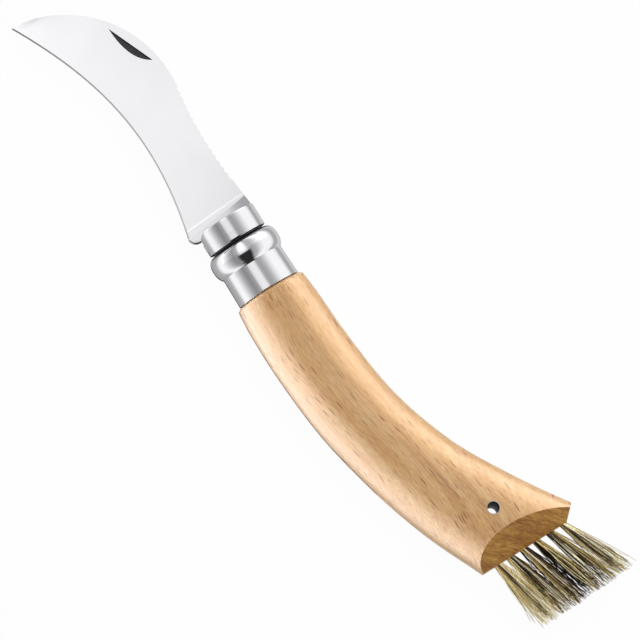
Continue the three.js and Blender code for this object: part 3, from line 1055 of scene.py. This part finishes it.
@dataclass
class FixedCollar:
    """The fixed collar: the sleeve under the ring, the bead and the barrel over the wood."""

    ring: LockingRing
    blade: Blade
    wall: float = 0.7
    front: float = 3.0
    groove_end: float = 3.85
    bead_front: float = 4.1
    bead_foot: float = 0.2
    bead_top: float = 7.8
    bead_end: float = 11.3
    bead_radius: float = 10.65
    barrel_radius: float = 9.42
    barrel_flare: float = 0.18
    back: float = 20.05
    lip: float = 0.16
    step_length: float = 0.6
    groove_slope: float = 0.68
    bead_shares: tuple = (0.87, 0.54, 0.74, 0.92)
    steps: int = 160

    def sleeve_radius(self) -> float:
        """Returns the outer radius of the sleeve under the ring."""
        return self.ring.radius - self.ring.wall - FIT_GAP

    def barrel_at(self, x: float) -> float:
        """Returns the radius of the barrel, which widens a little towards the wood."""
        return self.barrel_radius + self.barrel_flare * (x - self.bead_end) / (self.back - self.bead_end)

    def profile(self) -> Row:
        """Returns the collar's closed profile as places along the axis and radii."""
        sleeve = self.sleeve_radius()
        front_pull, rise_pull, fall_pull, end_pull = self.bead_shares
        rise = bezier(
            [
                (self.bead_front, sleeve + self.bead_foot),
                (self.bead_front, lerp(sleeve, self.bead_radius, front_pull)),
                (lerp(self.bead_front, self.bead_top, rise_pull), self.bead_radius),
                (self.bead_top, self.bead_radius),
            ],
            22,
        )
        fall = bezier(
            [
                (self.bead_top, self.bead_radius),
                (lerp(self.bead_top, self.bead_end, fall_pull), self.bead_radius),
                (lerp(self.bead_top, self.bead_end, end_pull), self.barrel_radius),
                (self.bead_end, self.barrel_radius),
            ],
            22,
        )
        end_radius = self.barrel_radius + self.barrel_flare
        lip_centre = Vector((self.back - self.lip, end_radius - self.lip, 0))
        inner = self.barrel_radius - self.wall
        step_at = self.bead_front + self.step_length
        return [
            Vector((-self.front, sleeve - self.wall, 0)),
            Vector((-self.front, sleeve, 0)),
            Vector((self.groove_end, sleeve, 0)),
            *rise,
            *fall[1:],
            *(Vector((x, self.barrel_at(x), 0)) for x in (self.bead_end + self.lip, self.back - 2 * self.lip)),
            *arc(lip_centre, self.lip, math.pi / 2, 0, 5),
            Vector((self.back, inner, 0)),
            Vector((step_at + self.step_length, inner, 0)),
            Vector((step_at, sleeve - self.wall, 0)),
        ]

    def in_groove(self, centre: Vector, normal: Vector) -> bool:
        """Says whether a face lies in the groove behind the ring, on the bead's steep front or on the sleeve
        under the ring, which get painted shade.
        """
        sleeve = centre.x < self.bead_front and centre.yz.dot(normal.yz) > 0
        front = self.groove_end - FIT_GAP < centre.x < self.bead_top and normal.x < -self.groove_slope
        return sleeve or front

    def build(self, steel: bpy.types.Material, shaded: bpy.types.Material) -> bpy.types.Object:
        """Builds the collar, cut by the blade's slot and the pin's bore, and dresses it.

        Args:
            steel: Polished steel of the bead and the barrel.
            shaded: Steel darkened as painted shade and painted reflection, on the sleeve, in the groove and on
                the bead's steep front.

        Returns:
            The collar's object.
        """
        shape = turned(self.profile(), AXIS, Vector(), self.steps)
        piece = drawn_object("fixed_collar_turned", shape, [steel, shaded])
        half = self.blade.tang_half + FIT_GAP
        cut(piece, self.blade.slot(half, self.barrel_radius + OVERRUN, self.front + OVERRUN))
        pivot = self.blade.pivot
        bore = upright(pivot.x, pivot.y, self.blade.pin_radius + FIT_GAP, self.ring.radius, 48)
        cut(piece, bore)
        # Painted shade and painted reflection: the sleeve, the groove and the bead's steep front get the dark
        # steel
        recolour(piece, 1, self.in_groove)
        return finish_piece(piece, Body.HANDLE, ["fixed_collar"], 35)


@dataclass(frozen=True)
class Lock:
    """Some bristles of a tuft that lie together and look alike.

    Its place is across the tuft's bore, in millimetres, and its colour is linear.
    """

    side: float
    up: float
    lean: float
    colour: tuple


@dataclass
class Brush:
    """The six tufts of bristle in the brush end."""

    face: float = 119.55
    count: int = 6
    first_rise: float = 12.85
    pitch: float = 4.29
    root_radius: float = 1.45
    locks: int = 32
    strands: int = 4
    strand_radius: float = 0.12
    lock_radius: float = 0.16
    length: float = 22.0
    length_spread: float = 4.8
    sink: float = 0.5
    spread_y: float = 2.15
    spread_z: float = 2.15
    leans: tuple = (math.radians(12.5), math.radians(22))
    lean_jitter: float = math.radians(1.7)
    straw: tuple = ("FFF6D4", "F0E0A8", "D6C07C")
    brown: tuple = ("A07C44", "70542A", "4A3416")
    black: tuple = ("1E150E", "0E0B09")
    # Shares of straw and of brown in each tuft. The rest is black.
    mixes: tuple = ((0.8, 0.12), (0.3, 0.36), (0.28, 0.38), (0.42, 0.26), (0.54, 0.26), (0.62, 0.24))
    bend: float = 1.5
    stray_share: float = 0.16
    stray_growth: float = 1.9
    points: int = 8
    seed: int = 11

    def rise(self, index: int) -> float:
        """Returns how far towards the spine side a tuft stands."""
        return self.first_rise + index * self.pitch

    def lock(self, index: int, draw: random.Random) -> Lock:
        """Draws one lock of a tuft, whose colour is from the tuft's mix of straw, brown and black."""
        radius = (self.root_radius - self.strand_radius - self.lock_radius) * math.sqrt(draw.random())
        angle = draw.uniform(0, math.tau)
        straw, brown = self.mixes[index]
        share = draw.random()
        family = self.straw if share < straw else self.brown if share < straw + brown else self.black
        lean = lerp(*self.leans, index / (self.count - 1)) + draw.gauss(0, self.lean_jitter)
        colour = linear(draw.choice(family))[:3]
        return Lock(radius * math.cos(angle), radius * math.sin(angle), lean, colour)

    def path(self, index: int, lock: Lock, draw: random.Random) -> Row:
        """Returns the points of one bristle.

        Args:
            index: The tuft's number.
            lock: The lock that the bristle is in.
            draw: Source of the random draws.
        """
        lean = lock.lean + draw.gauss(0, self.lean_jitter / 3)
        side = lock.side + draw.gauss(0, self.lock_radius / 2)
        up = lock.up + draw.gauss(0, self.lock_radius / 2)
        length = self.length - self.length_spread * draw.random() ** 1.4
        stray = self.stray_growth if draw.random() < self.stray_share else 1.0
        grow_side = (self.spread_y + draw.gauss(0, 0.3)) * stray
        grow_up = (self.spread_z + draw.gauss(0, 0.25)) * stray
        bow_side, bow_up = draw.gauss(0, self.bend / 2), draw.gauss(0, self.bend / 2)
        row = []
        for i in range(self.points):
            share = i / (self.points - 1)
            out = -self.sink + (length + self.sink) * share
            bow = math.sin(math.pi * share) * share
            row.append(
                Vector(
                    (
                        self.face + out * math.cos(lean),
                        self.rise(index)
                        + side * lerp(1, grow_side, share)
                        + out * math.sin(lean)
                        + bow * bow_side,
                        up * lerp(1, grow_up, share) + bow * bow_up,
                    )
                )
            )
        return row

    def tone_of(self, lock: Lock, draw: random.Random) -> list[float]:
        """Draws the linear colour of one bristle of a lock."""
        shade = draw.uniform(0.75, 1.15)
        return [min(1.0, c * shade) for c in lock.colour] + [1.0]

    def build_tuft(self, index: int, bristle: bpy.types.Material) -> bpy.types.Object:
        """Builds one tuft as thin tapered tubes, each with a colour of its own.

        Args:
            index: The tuft's number.
            bristle: The bristles' material.

        Returns:
            The tuft's object.
        """
        draw = random.Random(self.seed + index)
        name = f"bristle_tuft_{index + 1}"
        curve = bpy.data.curves.new(name, "CURVE")
        curve.dimensions = "3D"
        curve.bevel_depth = self.strand_radius
        curve.bevel_resolution = 0
        curve.use_fill_caps = True
        locks = [lock for _ in range(self.locks) for lock in [self.lock(index, draw)] * self.strands]
        for lock in locks:
            row = self.path(index, lock, draw)
            spline = curve.splines.new("POLY")
            spline.points.add(len(row) - 1)
            for i, (target, point) in enumerate(zip(spline.points, row)):
                target.co = (*point, 1)
                target.radius = lerp(1, 0.5, i / (len(row) - 1))
        holder = bpy.data.objects.new("holder", curve)
        bpy.context.scene.collection.objects.link(holder)
        graph = bpy.context.evaluated_depsgraph_get()
        mesh = bpy.data.meshes.new_from_object(holder.evaluated_get(graph), depsgraph=graph)
        bpy.data.objects.remove(holder)
        mesh.materials.append(bristle)
        piece = bpy.data.objects.new(name, mesh)
        bpy.context.scene.collection.objects.link(piece)
        attribute = mesh.color_attributes.new("tone", "FLOAT_COLOR", "POINT")
        per_strand = len(mesh.vertices) // len(locks)
        tones = [self.tone_of(lock, draw) * per_strand for lock in locks]
        attribute.data.foreach_set("color", [value for tone in tones for value in tone])
        return finish_piece(piece, Body.HANDLE, ["bristle_row"], 60)

    def build(self, bristle: bpy.types.Material) -> None:
        """Builds all tufts."""
        for index in range(self.count):
            self.build_tuft(index, bristle)


@dataclass
class Eyelet:
    """The metal tube that lines the lanyard hole."""

    at: float = 105.75
    rise: float = 19.6
    radius: float = 1.95
    wall: float = 0.25
    half_length: float = 10.3
    edge_round: float = 0.04

    def build(self, metal: bpy.types.Material, dark: bpy.types.Material) -> bpy.types.Object:
        """Builds the tube with rounded rims and dresses it.

        Args:
            metal: Bright metal of the rims.
            dark: Metal of the bore, darkened as painted shade.

        Returns:
            The tube's object.
        """
        inner, outer = self.radius - self.wall, self.radius
        profile = []
        for sign in (1, -1):
            end = sign * self.half_length
            rims = [(outer, end - sign * self.edge_round), (outer - self.edge_round, end)]
            rims += [(inner + self.edge_round, end), (inner, end - sign * self.edge_round)]
            profile += rims if sign > 0 else rims[::-1]
        centre = Vector((self.at, self.rise, 0))
        row = [centre + Vector((radius, 0, z)) for radius, z in profile]
        piece = drawn_object("lanyard_eyelet_tube", turned(row, UP, centre, 48), [metal, dark])
        # Painted shade: the bore's inner faces get the dark metal
        recolour(piece, 1, lambda at, normal: (at - centre).xy.dot(normal.xy) < -1)
        return finish_piece(piece, Body.HANDLE, ["lanyard_eyelet"], 35)


@dataclass
class Handle:
    """The turned and shaped wooden handle with its brush end."""

    blade: Blade
    collar: FixedCollar
    brush: Brush
    eyelet: Eyelet
    grip_radius: float = 10.7
    grip_half: float = 11.15
    tail_rise: float = 25.0
    tail_half_width: float = 17.3
    tail_half: float = 10.4
    shoulder_round: float = 1.1
    bevel_length: float = 7.45
    face_half: float = 1.8
    corner_rise: float = 35.6
    eyelet_fit: float = 0.02
    sides: int = 112
    steps: int = 88
    rows: tuple = (
        (0.0, 0.0, 0.0),
        (0.07, 0.0, 0.08),
        (0.2, 0.01, 0.13),
        (0.4, 0.078, 0.19),
        (0.6, 0.265, 0.34),
        (0.81, 0.6, 0.69),
        (1.0, 1.0, 1.0),
    )

    def front(self) -> float:
        """Returns where the wood's shoulder starts, behind the collar."""
        return self.collar.back + FIT_GAP

    def shape_at(self, share: float) -> Vector:
        """Returns the smooth curve through the rows, at a share of their count.

        Args:
            share: From 0 at the shoulder to 1 at the brush face.

        Returns:
            Shares of the length, of the tail's rise and of the widening.
        """
        points = [Vector(row) for row in self.rows]
        points = [2 * points[0] - points[1], *points, 2 * points[-1] - points[-2]]
        place = min(share * (len(self.rows) - 1), len(self.rows) - 1 - 1e-9)
        index = int(place)
        t = place - index
        p0, p1, p2, p3 = points[index : index + 4]
        d0, d1, d2 = ((b - a).length ** 0.5 for a, b in ((p0, p1), (p1, p2), (p2, p3)))
        start = ((p1 - p0) / d0 - (p2 - p0) / (d0 + d1) + (p2 - p1) / d1) * d1
        end = ((p2 - p1) / d1 - (p3 - p1) / (d1 + d2) + (p3 - p2) / d2) * d1
        return (
            p1
            + start * t
            + (3 * (p2 - p1) - 2 * start - end) * t**2
            + (start + end - 2 * (p2 - p1)) * t**3
        )

    def sections(self) -> list[tuple[float, float, float, float]]:
        """Returns each section as its X, its Y, its half width and its half height."""
        neck = self.collar.sleeve_radius() - self.collar.wall - FIT_GAP
        plug = self.collar.barrel_radius - self.collar.wall - FIT_GAP
        step_at = self.collar.bead_front + self.collar.step_length + FIT_GAP
        front = self.front()
        made = [
            (-(self.collar.front - FIT_GAP), 0.0, neck, neck),
            (step_at, 0.0, neck, neck),
            (step_at + self.collar.step_length, 0.0, plug, plug),
            (front, 0.0, plug, plug),
        ]
        for i in range(9):
            angle = math.pi / 2 * i / 8
            radius = self.grip_radius - self.shoulder_round * (1 - math.sin(angle))
            made.append((front + self.shoulder_round * (1 - math.cos(angle)), 0.0, radius, radius))
        run = self.brush.face - front - self.shoulder_round
        for i in range(1, self.steps + 1):
            length, rise, swell = self.shape_at(i / self.steps)
            width = lerp(self.grip_radius, self.tail_half_width, swell)
            height = min(width, lerp(self.grip_half, self.tail_half, length))
            x = front + self.shoulder_round + run * length
            made.append((x, self.tail_rise * rise, width, height))
        return made

    def blank(self) -> bmesh.types.BMesh:
        """Makes the handle's outside from the neck to the brush face."""
        rows = []
        for x, y, width, height in self.sections():
            angles = [math.tau * i / self.sides for i in range(self.sides)]
            rows.append([Vector((x, y + width * math.cos(a), height * math.sin(a))) for a in angles])
        return skin(rows)

    def slice_end(self, bm: bmesh.types.BMesh, point: Vector, normal: Vector, material: int) -> None:
        """Cuts away what lies beyond a plane and closes the cut with one face.

        Args:
            bm: The handle's mesh.
            point: A point on the plane.
            normal: Direction of what is cut away.
            material: Index of the material of the new face.
        """
        geom = bm.verts[:] + bm.edges[:] + bm.faces[:]
        made = bmesh.ops.bisect_plane(bm, geom=geom, plane_co=point, plane_no=normal, clear_outer=True)
        rim = [e for e in made["geom_cut"] if isinstance(e, bmesh.types.BMEdge)]
        for face in bmesh.ops.contextual_create(bm, geom=rim)["faces"]:
            face.material_index = material

    def build(self, wood: bpy.types.Material, end_grain: bpy.types.Material) -> bpy.types.Object:
        """Builds the handle and dresses it.

        Args:
            wood: Varnished beech along the fibres.
            end_grain: Beech cut across.

        Returns:
            The handle's object.
        """
        bm = self.blank()
        slope = (self.tail_half - self.face_half) / self.bevel_length
        for side in (1, -1):
            edge = Vector((self.brush.face, 0, side * self.face_half))
            self.slice_end(bm, edge, Vector((slope, 0, side)), 1)
        corner = Vector((self.brush.face, self.corner_rise, 0))
        self.slice_end(bm, corner, Vector((1, 1, 0)), 0)
        piece = drawn_object("handle_beech", bm, [wood, end_grain])
        soften(piece, 0.3, 32, 3)
        half = self.blade.tang_half + FIT_GAP
        cut(piece, self.blade.slot(half, self.tail_half_width + OVERRUN, self.collar.front + OVERRUN))
        radius = self.eyelet.radius + self.eyelet_fit
        cut(piece, upright(self.eyelet.at, self.eyelet.rise, radius, self.grip_half + OVERRUN, 64))
        pivot = self.blade.pivot
        bore = upright(pivot.x, pivot.y, self.blade.pin_radius + FIT_GAP, self.grip_half, 48)
        cut(piece, bore)
        return finish_piece(piece, Body.HANDLE, ["handle"], 30)


class Reach(Enum):
    """What a lamp shows in."""

    MATT = "matt"
    VARNISH = "varnish"


@dataclass(frozen=True)
class Lamp:
    """A long soft lamp beside or over the knife, along its length.

    Its two long sides are places across the knife, as Y and Z in the drawing's millimetres.
    """

    name: str
    start: tuple
    end: tuple
    radiance: float
    reach: Reach


def around(elevation: float, distance: float) -> tuple[float, float]:
    """Returns a place across the knife, from 0 degrees at the spine side over 90 above."""
    angle = math.radians(elevation)
    return distance * math.cos(angle), distance * math.sin(angle)


@dataclass
class Studio:
    """The camera, the pale floor and plain soft light."""

    varnished: bpy.types.Collection
    aim: tuple = (34.693, 7.588, 0.0)
    distance: float = 5000.0
    lean: tuple = (0.07149, -0.08592, 1.0)
    image_right: tuple = (0.53456, 0.84443, 0.03434)
    lens: float = 1003.6
    sensor: float = 36.0
    floor_size: float = 6000.0
    floor_lift: float = 0.05
    floor_glow: float = 0.97
    lamp_length: float = 1200.0
    tent_radius: float = 650.0
    tent_half_length: float = 720.0
    tent_steps: int = 24
    brightest: float = 1.5
    # Tones that polished steel mirrors, by elevation in degrees
    tent_tones: tuple = (
        (0, 1.24),
        (30, 1.24),
        (43, 0.98),
        (58, 0.6),
        (70, 0.46),
        (80, 0.5),
        (88, 1.0),
        (96, 1.1),
        (109, 1.0),
        (117, 0.45),
        (133, 0.32),
        (147, 0.5),
        (162, 0.86),
        (172, 1.14),
        (180, 1.26),
    )
    # Tones of the floor in steel, by distance towards the spine side; the low tones under and beside the knife
    # are a painted shadow
    floor_tones: tuple = (
        (-150, 1.26),
        (-80, 1.24),
        (-56, 1.05),
        (-38, 0.64),
        (-18, 0.46),
        (0, 0.4),
        (22, 0.78),
        (36, 0.5),
        (64, 0.56),
        (95, 0.95),
        (150, 1.1),
    )
    dark_tones: tuple = ((70, 0), (79, 1), (115, 1), (126, 0))
    low_dark_tones: tuple = ((62, 0), (69, 1), (125, 1), (136, 0))
    low_under: float = 420.0
    dark_lowest: float = 150.0
    dark_from: float = -28.0
    dark_to: float = 40.0
    dark_low: float = 118.0
    boost_from: float = -56.0
    boost_to: float = -115.0
    boost: float = 1.27
    lamps: tuple = (
        Lamp("top_lamp", around(58, 600), around(90, 600), 2.6, Reach.MATT),
        Lamp("spine_side_lamp", around(5, 600), around(40, 600), 0.12, Reach.MATT),
        Lamp("edge_side_sheen", (-24, -10.6), (-390, 320), 6.1, Reach.VARNISH),
        Lamp("spine_side_sheen", (60, -4), (330, 190), 6.3, Reach.VARNISH),
    )

    def add_camera(self) -> None:
        """Adds the camera, which looks down on the knife from far away."""
        back = Vector(self.lean).normalized()
        right = Vector(self.image_right)
        right = (right - back * right.dot(back)).normalized()
        matrix = Matrix((right, back.cross(right), back)).transposed().to_4x4()
        matrix.translation = PLACE @ (Vector(self.aim) + self.distance * back)
        data = bpy.data.cameras.new("camera")
        data.lens = self.lens
        data.sensor_width = self.sensor
        data.clip_start = 10 * MM
        data.clip_end = 4 * self.distance * MM
        camera = bpy.data.objects.new("camera", data)
        bpy.context.scene.collection.objects.link(camera)
        camera.matrix_world = matrix
        bpy.context.scene.camera = camera

    def shown_ray(self, tree: bpy.types.NodeTree) -> bpy.types.NodeSocket:
        """Adds nodes that give 1 where the background itself is seen, reflected or seen through."""
        path = add_node(tree, "ShaderNodeLightPath")
        gloss = add_node(
            tree,
            "ShaderNodeMath",
            {0: path.outputs["Is Camera Ray"], 1: path.outputs["Is Glossy Ray"]},
            operation="MAXIMUM",
        )
        return add_node(
            tree,
            "ShaderNodeMath",
            {0: gloss.outputs["Value"], 1: path.outputs["Is Transmission Ray"]},
            operation="MAXIMUM",
        ).outputs["Value"]

    def add_floor(self) -> None:
        """Adds the pale floor, which keeps a faint shadow."""
        bm = bmesh.new()
        bmesh.ops.create_grid(bm, x_segments=1, y_segments=1, size=self.floor_size * MM / 2)
        material, tree = new_material("floor_paper_white")
        floor = drawn_object("floor", bm, [material])
        paper = add_node(tree, "ShaderNodeBsdfDiffuse", {"Color": linear("F4F4F4")})
        glow = add_node(tree, "ShaderNodeEmission", {"Strength": 1.0})
        inputs = {0: self.shown_ray(tree), 1: self.floor_glow}
        share = add_node(tree, "ShaderNodeMath", inputs, operation="MULTIPLY")
        mixed = add_node(
            tree,
            "ShaderNodeMixShader",
            {0: share.outputs["Value"], 1: paper.outputs["BSDF"], 2: glow.outputs["Emission"]},
        )
        add_node(tree, "ShaderNodeOutputMaterial", {"Surface": mixed.outputs["Shader"]})

    def add_world(self) -> None:
        """Adds an even white surround."""
        world = bpy.data.worlds.new("surround")
        world.use_nodes = True
        tree = world.node_tree
        tree.nodes.clear()
        strength = add_node(
            tree,
            "ShaderNodeMapRange",
            {"Value": self.shown_ray(tree), "To Min": 0.22, "To Max": 1.0},
        )
        glow = add_node(tree, "ShaderNodeBackground", {"Strength": strength.outputs["Result"]})
        add_node(tree, "ShaderNodeOutputWorld", {"Surface": glow.outputs["Background"]})
        bpy.context.scene.world = world

    def add_lamp(self, lamp: Lamp) -> None:
        """Adds a lamp."""
        start, end = Vector((0, *lamp.start)), Vector((0, *lamp.end))
        across = (end - start).normalized()
        facing = AXIS.cross(across)
        middle = (start + end) / 2
        if facing.dot(middle) > 0:
            facing = -facing
        data = bpy.data.lights.new(lamp.name, "AREA")
        data.shape = "RECTANGLE"
        data.size = (end - start).length * MM
        data.size_y = self.lamp_length * MM
        data.energy = lamp.radiance * math.pi * data.size * data.size_y
        light = bpy.data.objects.new(lamp.name, data)
        bpy.context.scene.collection.objects.link(light)
        matrix = Matrix((AXIS.cross(-facing), AXIS, -facing)).transposed().to_4x4()
        matrix.translation = PLACE @ (middle + Vector((20, 0, 0)))
        light.matrix_world = matrix
        light.visible_camera = False
        light.visible_diffuse = lamp.reach is Reach.MATT
        light.visible_glossy = lamp.reach is Reach.VARNISH
        if lamp.reach is Reach.VARNISH:
            light.light_linking.receiver_collection = self.varnished

    def tone_at(
        self, tree: bpy.types.NodeTree, value: bpy.types.NodeSocket, tones: tuple, low: float, high: float
    ) -> bpy.types.NodeSocket:
        """Adds nodes that look a tone up in a row of tones.

        Args:
            tree: The material's tree.
            value: Where to look.
            tones: Places and their tones, in order.
            low: The first place that a tone can have.
            high: The last place that a tone can have.

        Returns:
            The tone.
        """
        inputs = {"Value": value, "From Min": low, "From Max": high}
        share = add_node(tree, "ShaderNodeMapRange", inputs)
        ramp = add_node(tree, "ShaderNodeValToRGB", {"Fac": share.outputs["Result"]})
        elements = ramp.color_ramp.elements
        while len(elements) < len(tones):
            elements.new(0.5)
        for element, (place, tone) in zip(elements, tones):
            element.position = (place - low) / (high - low)
            element.color = (*(tone / self.brightest,) * 3, 1)
        inputs = {0: ramp.outputs["Color"], 1: self.brightest}
        return add_node(tree, "ShaderNodeMath", inputs, operation="MULTIPLY").outputs["Value"]

    def add_card(
        self, bm: bmesh.types.BMesh, material: bpy.types.Material, tone: bpy.types.NodeSocket
    ) -> None:
        """Adds a shape that only gloss shows.

        Args:
            bm: The shape, in the drawing's millimetres.
            material: Its material, whose name it takes.
            tone: How bright it is.
        """
        tree = material.node_tree
        glow = add_node(tree, "ShaderNodeEmission", {"Strength": tone})
        add_node(tree, "ShaderNodeOutputMaterial", {"Surface": glow.outputs["Emission"]})
        bm.transform(PLACE)
        card = drawn_object(material.name, bm, [material])
        card.visible_camera = False
        card.visible_diffuse = False
        card.visible_shadow = False
        card.visible_transmission = False

    def add_floor_card(self) -> None:
        """Adds what steel mirrors of the floor, as glowing stripes along the knife, darker under and beside it
        as a painted shadow.
        """
        bm = bmesh.new()
        height = self.floor_lift - ORIGIN.z / MM
        bmesh.ops.create_grid(
            bm,
            x_segments=1,
            y_segments=1,
            size=self.tent_half_length,
            matrix=Matrix.Translation((0, 0, height)),
        )
        material, tree = new_material("gloss_card_floor")
        split = add_node(tree, "ShaderNodeSeparateXYZ", {"Vector": drawn_place(tree)})
        tone = self.tone_at(tree, split.outputs["Y"], self.floor_tones, -200, 200)
        self.add_card(bm, material, tone)

    def add_tent(self) -> None:
        """Adds the half round tent that steel mirrors, with a dark opening above the brush end."""
        low = self.floor_lift - ORIGIN.z / MM
        angles = [180 * i / self.tent_steps for i in range(self.tent_steps + 1)]
        places = [around(angle, self.tent_radius) for angle in angles]
        places = [(self.tent_radius, low), *places, (-self.tent_radius, low)]
        ring = [Vector((0, *place)) for place in places]
        ends = (-self.tent_half_length, self.tent_half_length)
        bm = skin([[point + Vector((x, 0, 0)) for point in ring] for x in ends])
        bottom = [face for face in bm.faces if face.calc_center_median().z < low / 2]
        bmesh.ops.delete(bm, geom=bottom, context="FACES_ONLY")
        material, tree = new_material("gloss_card_tent")
        split = add_node(tree, "ShaderNodeSeparateXYZ", {"Vector": drawn_place(tree)})
        above = add_node(tree, "ShaderNodeMath", {0: split.outputs["Z"], 1: 0.0}, operation="MAXIMUM")
        inputs = {0: above.outputs["Value"], 1: split.outputs["Y"]}
        angle = add_node(tree, "ShaderNodeMath", inputs, operation="ARCTAN2")
        degrees = add_node(tree, "ShaderNodeMath", {0: angle.outputs["Value"]}, operation="DEGREES")
        elevation = degrees.outputs["Value"]
        tone = self.tone_at(tree, elevation, self.tent_tones, 0, 180)
        boost = add_node(
            tree,
            "ShaderNodeMapRange",
            {
                "Value": split.outputs["X"],
                "From Min": self.boost_from,
                "From Max": self.boost_to,
                "To Min": 1.0,
                "To Max": self.boost,
            },
        )
        opening = add_node(
            tree,
            "ShaderNodeMapRange",
            {"Value": split.outputs["X"], "From Min": self.dark_from, "From Max": self.dark_to},
            interpolation_type="SMOOTHSTEP",
        )
        height = split.outputs["Z"]
        inputs = {0: height, 1: self.low_under}
        low = add_node(tree, "ShaderNodeMath", inputs, operation="LESS_THAN")
        inputs = {0: height, 1: self.dark_lowest}
        high = add_node(tree, "ShaderNodeMath", inputs, operation="GREATER_THAN")
        high_dark = self.tone_at(tree, elevation, self.dark_tones, 0, 180)
        low_dark = self.tone_at(tree, elevation, self.low_dark_tones, 0, 180)
        inputs = {"Factor": low.outputs["Value"], 2: high_dark, 3: low_dark}
        dark = add_node(tree, "ShaderNodeMix", inputs, data_type="FLOAT")
        inputs = {0: dark.outputs[0], 1: high.outputs["Value"]}
        dark = add_node(tree, "ShaderNodeMath", inputs, operation="MULTIPLY").outputs["Value"]
        inputs = {0: opening.outputs["Result"], 1: dark}
        opening = add_node(tree, "ShaderNodeMath", inputs, operation="MULTIPLY")
        far = add_node(
            tree,
            "ShaderNodeMath",
            {0: split.outputs["X"], 1: 1 - self.tent_half_length},
            operation="LESS_THAN",
        )
        near_floor = add_node(
            tree,
            "ShaderNodeMath",
            {0: split.outputs["Z"], 1: self.dark_low},
            operation="LESS_THAN",
        )
        inputs = {0: far.outputs["Value"], 1: near_floor.outputs["Value"]}
        low_dark = add_node(tree, "ShaderNodeMath", inputs, operation="MULTIPLY")
        inputs = {0: opening.outputs["Value"], 1: low_dark.outputs["Value"]}
        shut = add_node(tree, "ShaderNodeMath", inputs, operation="MAXIMUM")
        inputs = {0: tone, 1: boost.outputs["Result"]}
        lit = add_node(tree, "ShaderNodeMath", inputs, operation="MULTIPLY")
        inputs = {"Factor": shut.outputs["Value"], 2: lit.outputs["Value"], 3: 0.03}
        shown = add_node(tree, "ShaderNodeMix", inputs, data_type="FLOAT")
        self.add_card(bm, material, shown.outputs[0])

    def build(self) -> None:
        """Builds the whole set."""
        self.add_camera()
        self.add_floor()
        self.add_world()
        for lamp in self.lamps:
            self.add_lamp(lamp)
        self.add_floor_card()
        self.add_tent()
        bpy.context.scene.view_settings.view_transform = "Standard"


def dress_node(name: str, material: bpy.types.Material) -> None:
    """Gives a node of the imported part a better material."""
    node = frame["nodes"][name]
    node.data.materials.clear()
    node.data.materials.append(material)
    LOG.info("%s: dressed", name)


def main() -> None:
    """Builds the studio and every piece of the knife."""
    logging.basicConfig(level=logging.INFO, format="%(name)s %(message)s")
    varnished = bpy.data.collections.new("varnished_wood")
    Studio(varnished).build()
    satin = SteelFinish("stainless_steel_satin", "E6E6E8", 0.15, line_depth=0.00001).build()
    # Rolled steel of the unground faces, with a painted shade darkening it towards the spine
    rolled = SteelFinish("stainless_steel_rolled_painted_shade", "BCBCC1", 0.24, unshaded_colour="E8E8EB").build()
    step = SteelFinish("stainless_steel_ground_step", "D8D8DB", 0.24).build()
    # Nail nick: near-black steel as painted shade and painted reflection
    nick_steel = SteelFinish("stainless_steel_nick_painted_shade", "48484B", 0.4).build()
    polished = SteelFinish("stainless_steel_polished", "DEDEE1", 0.07, cloud=0.02).build()
    # Dark steel as painted shade and painted reflection: in the groove, on the ring's ends and inside
    shaded = SteelFinish("stainless_steel_painted_shade", "4C4C50", 0.36).build()
    pin_steel = SteelFinish("steel_pin_turned", "A8A8AB", 0.3).build()
    wire = SteelFinish("steel_wire_drawn", "8E8E90", 0.4).build()
    nickel = SteelFinish("brass_nickel_plated", "E6DFD6", 0.5).build()
    # Inside the bore: dark metal as painted shade
    bore_shade = SteelFinish("brass_nickel_bore_painted_shade", "625C66", 0.6).build()
    beech = BeechFinish("beech_varnished").build()
    beech_end = BeechFinish(
        "beech_varnished_end_grain",
        stops=((0.15, "6C4208"), (0.42, "9A6414"), (0.64, "B48026"), (0.95, "D6A858")),
        turn=math.radians(48),
        band_grain=(16.0, 2.4, 14.0),
        fibre_grain=(6.0, 0.7, 9.0),
        pore_grain=(1.4, 0.45, 6.0),
        ray_share=0.3,
        roughness=0.7,
        coat=0.0,
    ).build()
    bristle = BristleFinish().build()
    blade = Blade()
    ring = LockingRing()
    collar = FixedCollar(ring, blade)
    brush = Brush()
    eyelet = Eyelet()
    handle = Handle(blade, collar, brush, eyelet)
    blade.build(satin, nick_steel, rolled, step)
    ring.build(polished, shaded)
    collar.build(polished, shaded)
    varnished.objects.link(handle.build(beech, beech_end))
    eyelet.build(nickel, bore_shade)
    brush.build(bristle)
    dress_node("pivot_pin", pin_steel)
    for index in range(brush.count):
        dress_node(f"tuft_anchor_{index + 1}", wire)


if __name__ == "__main__":
    main()
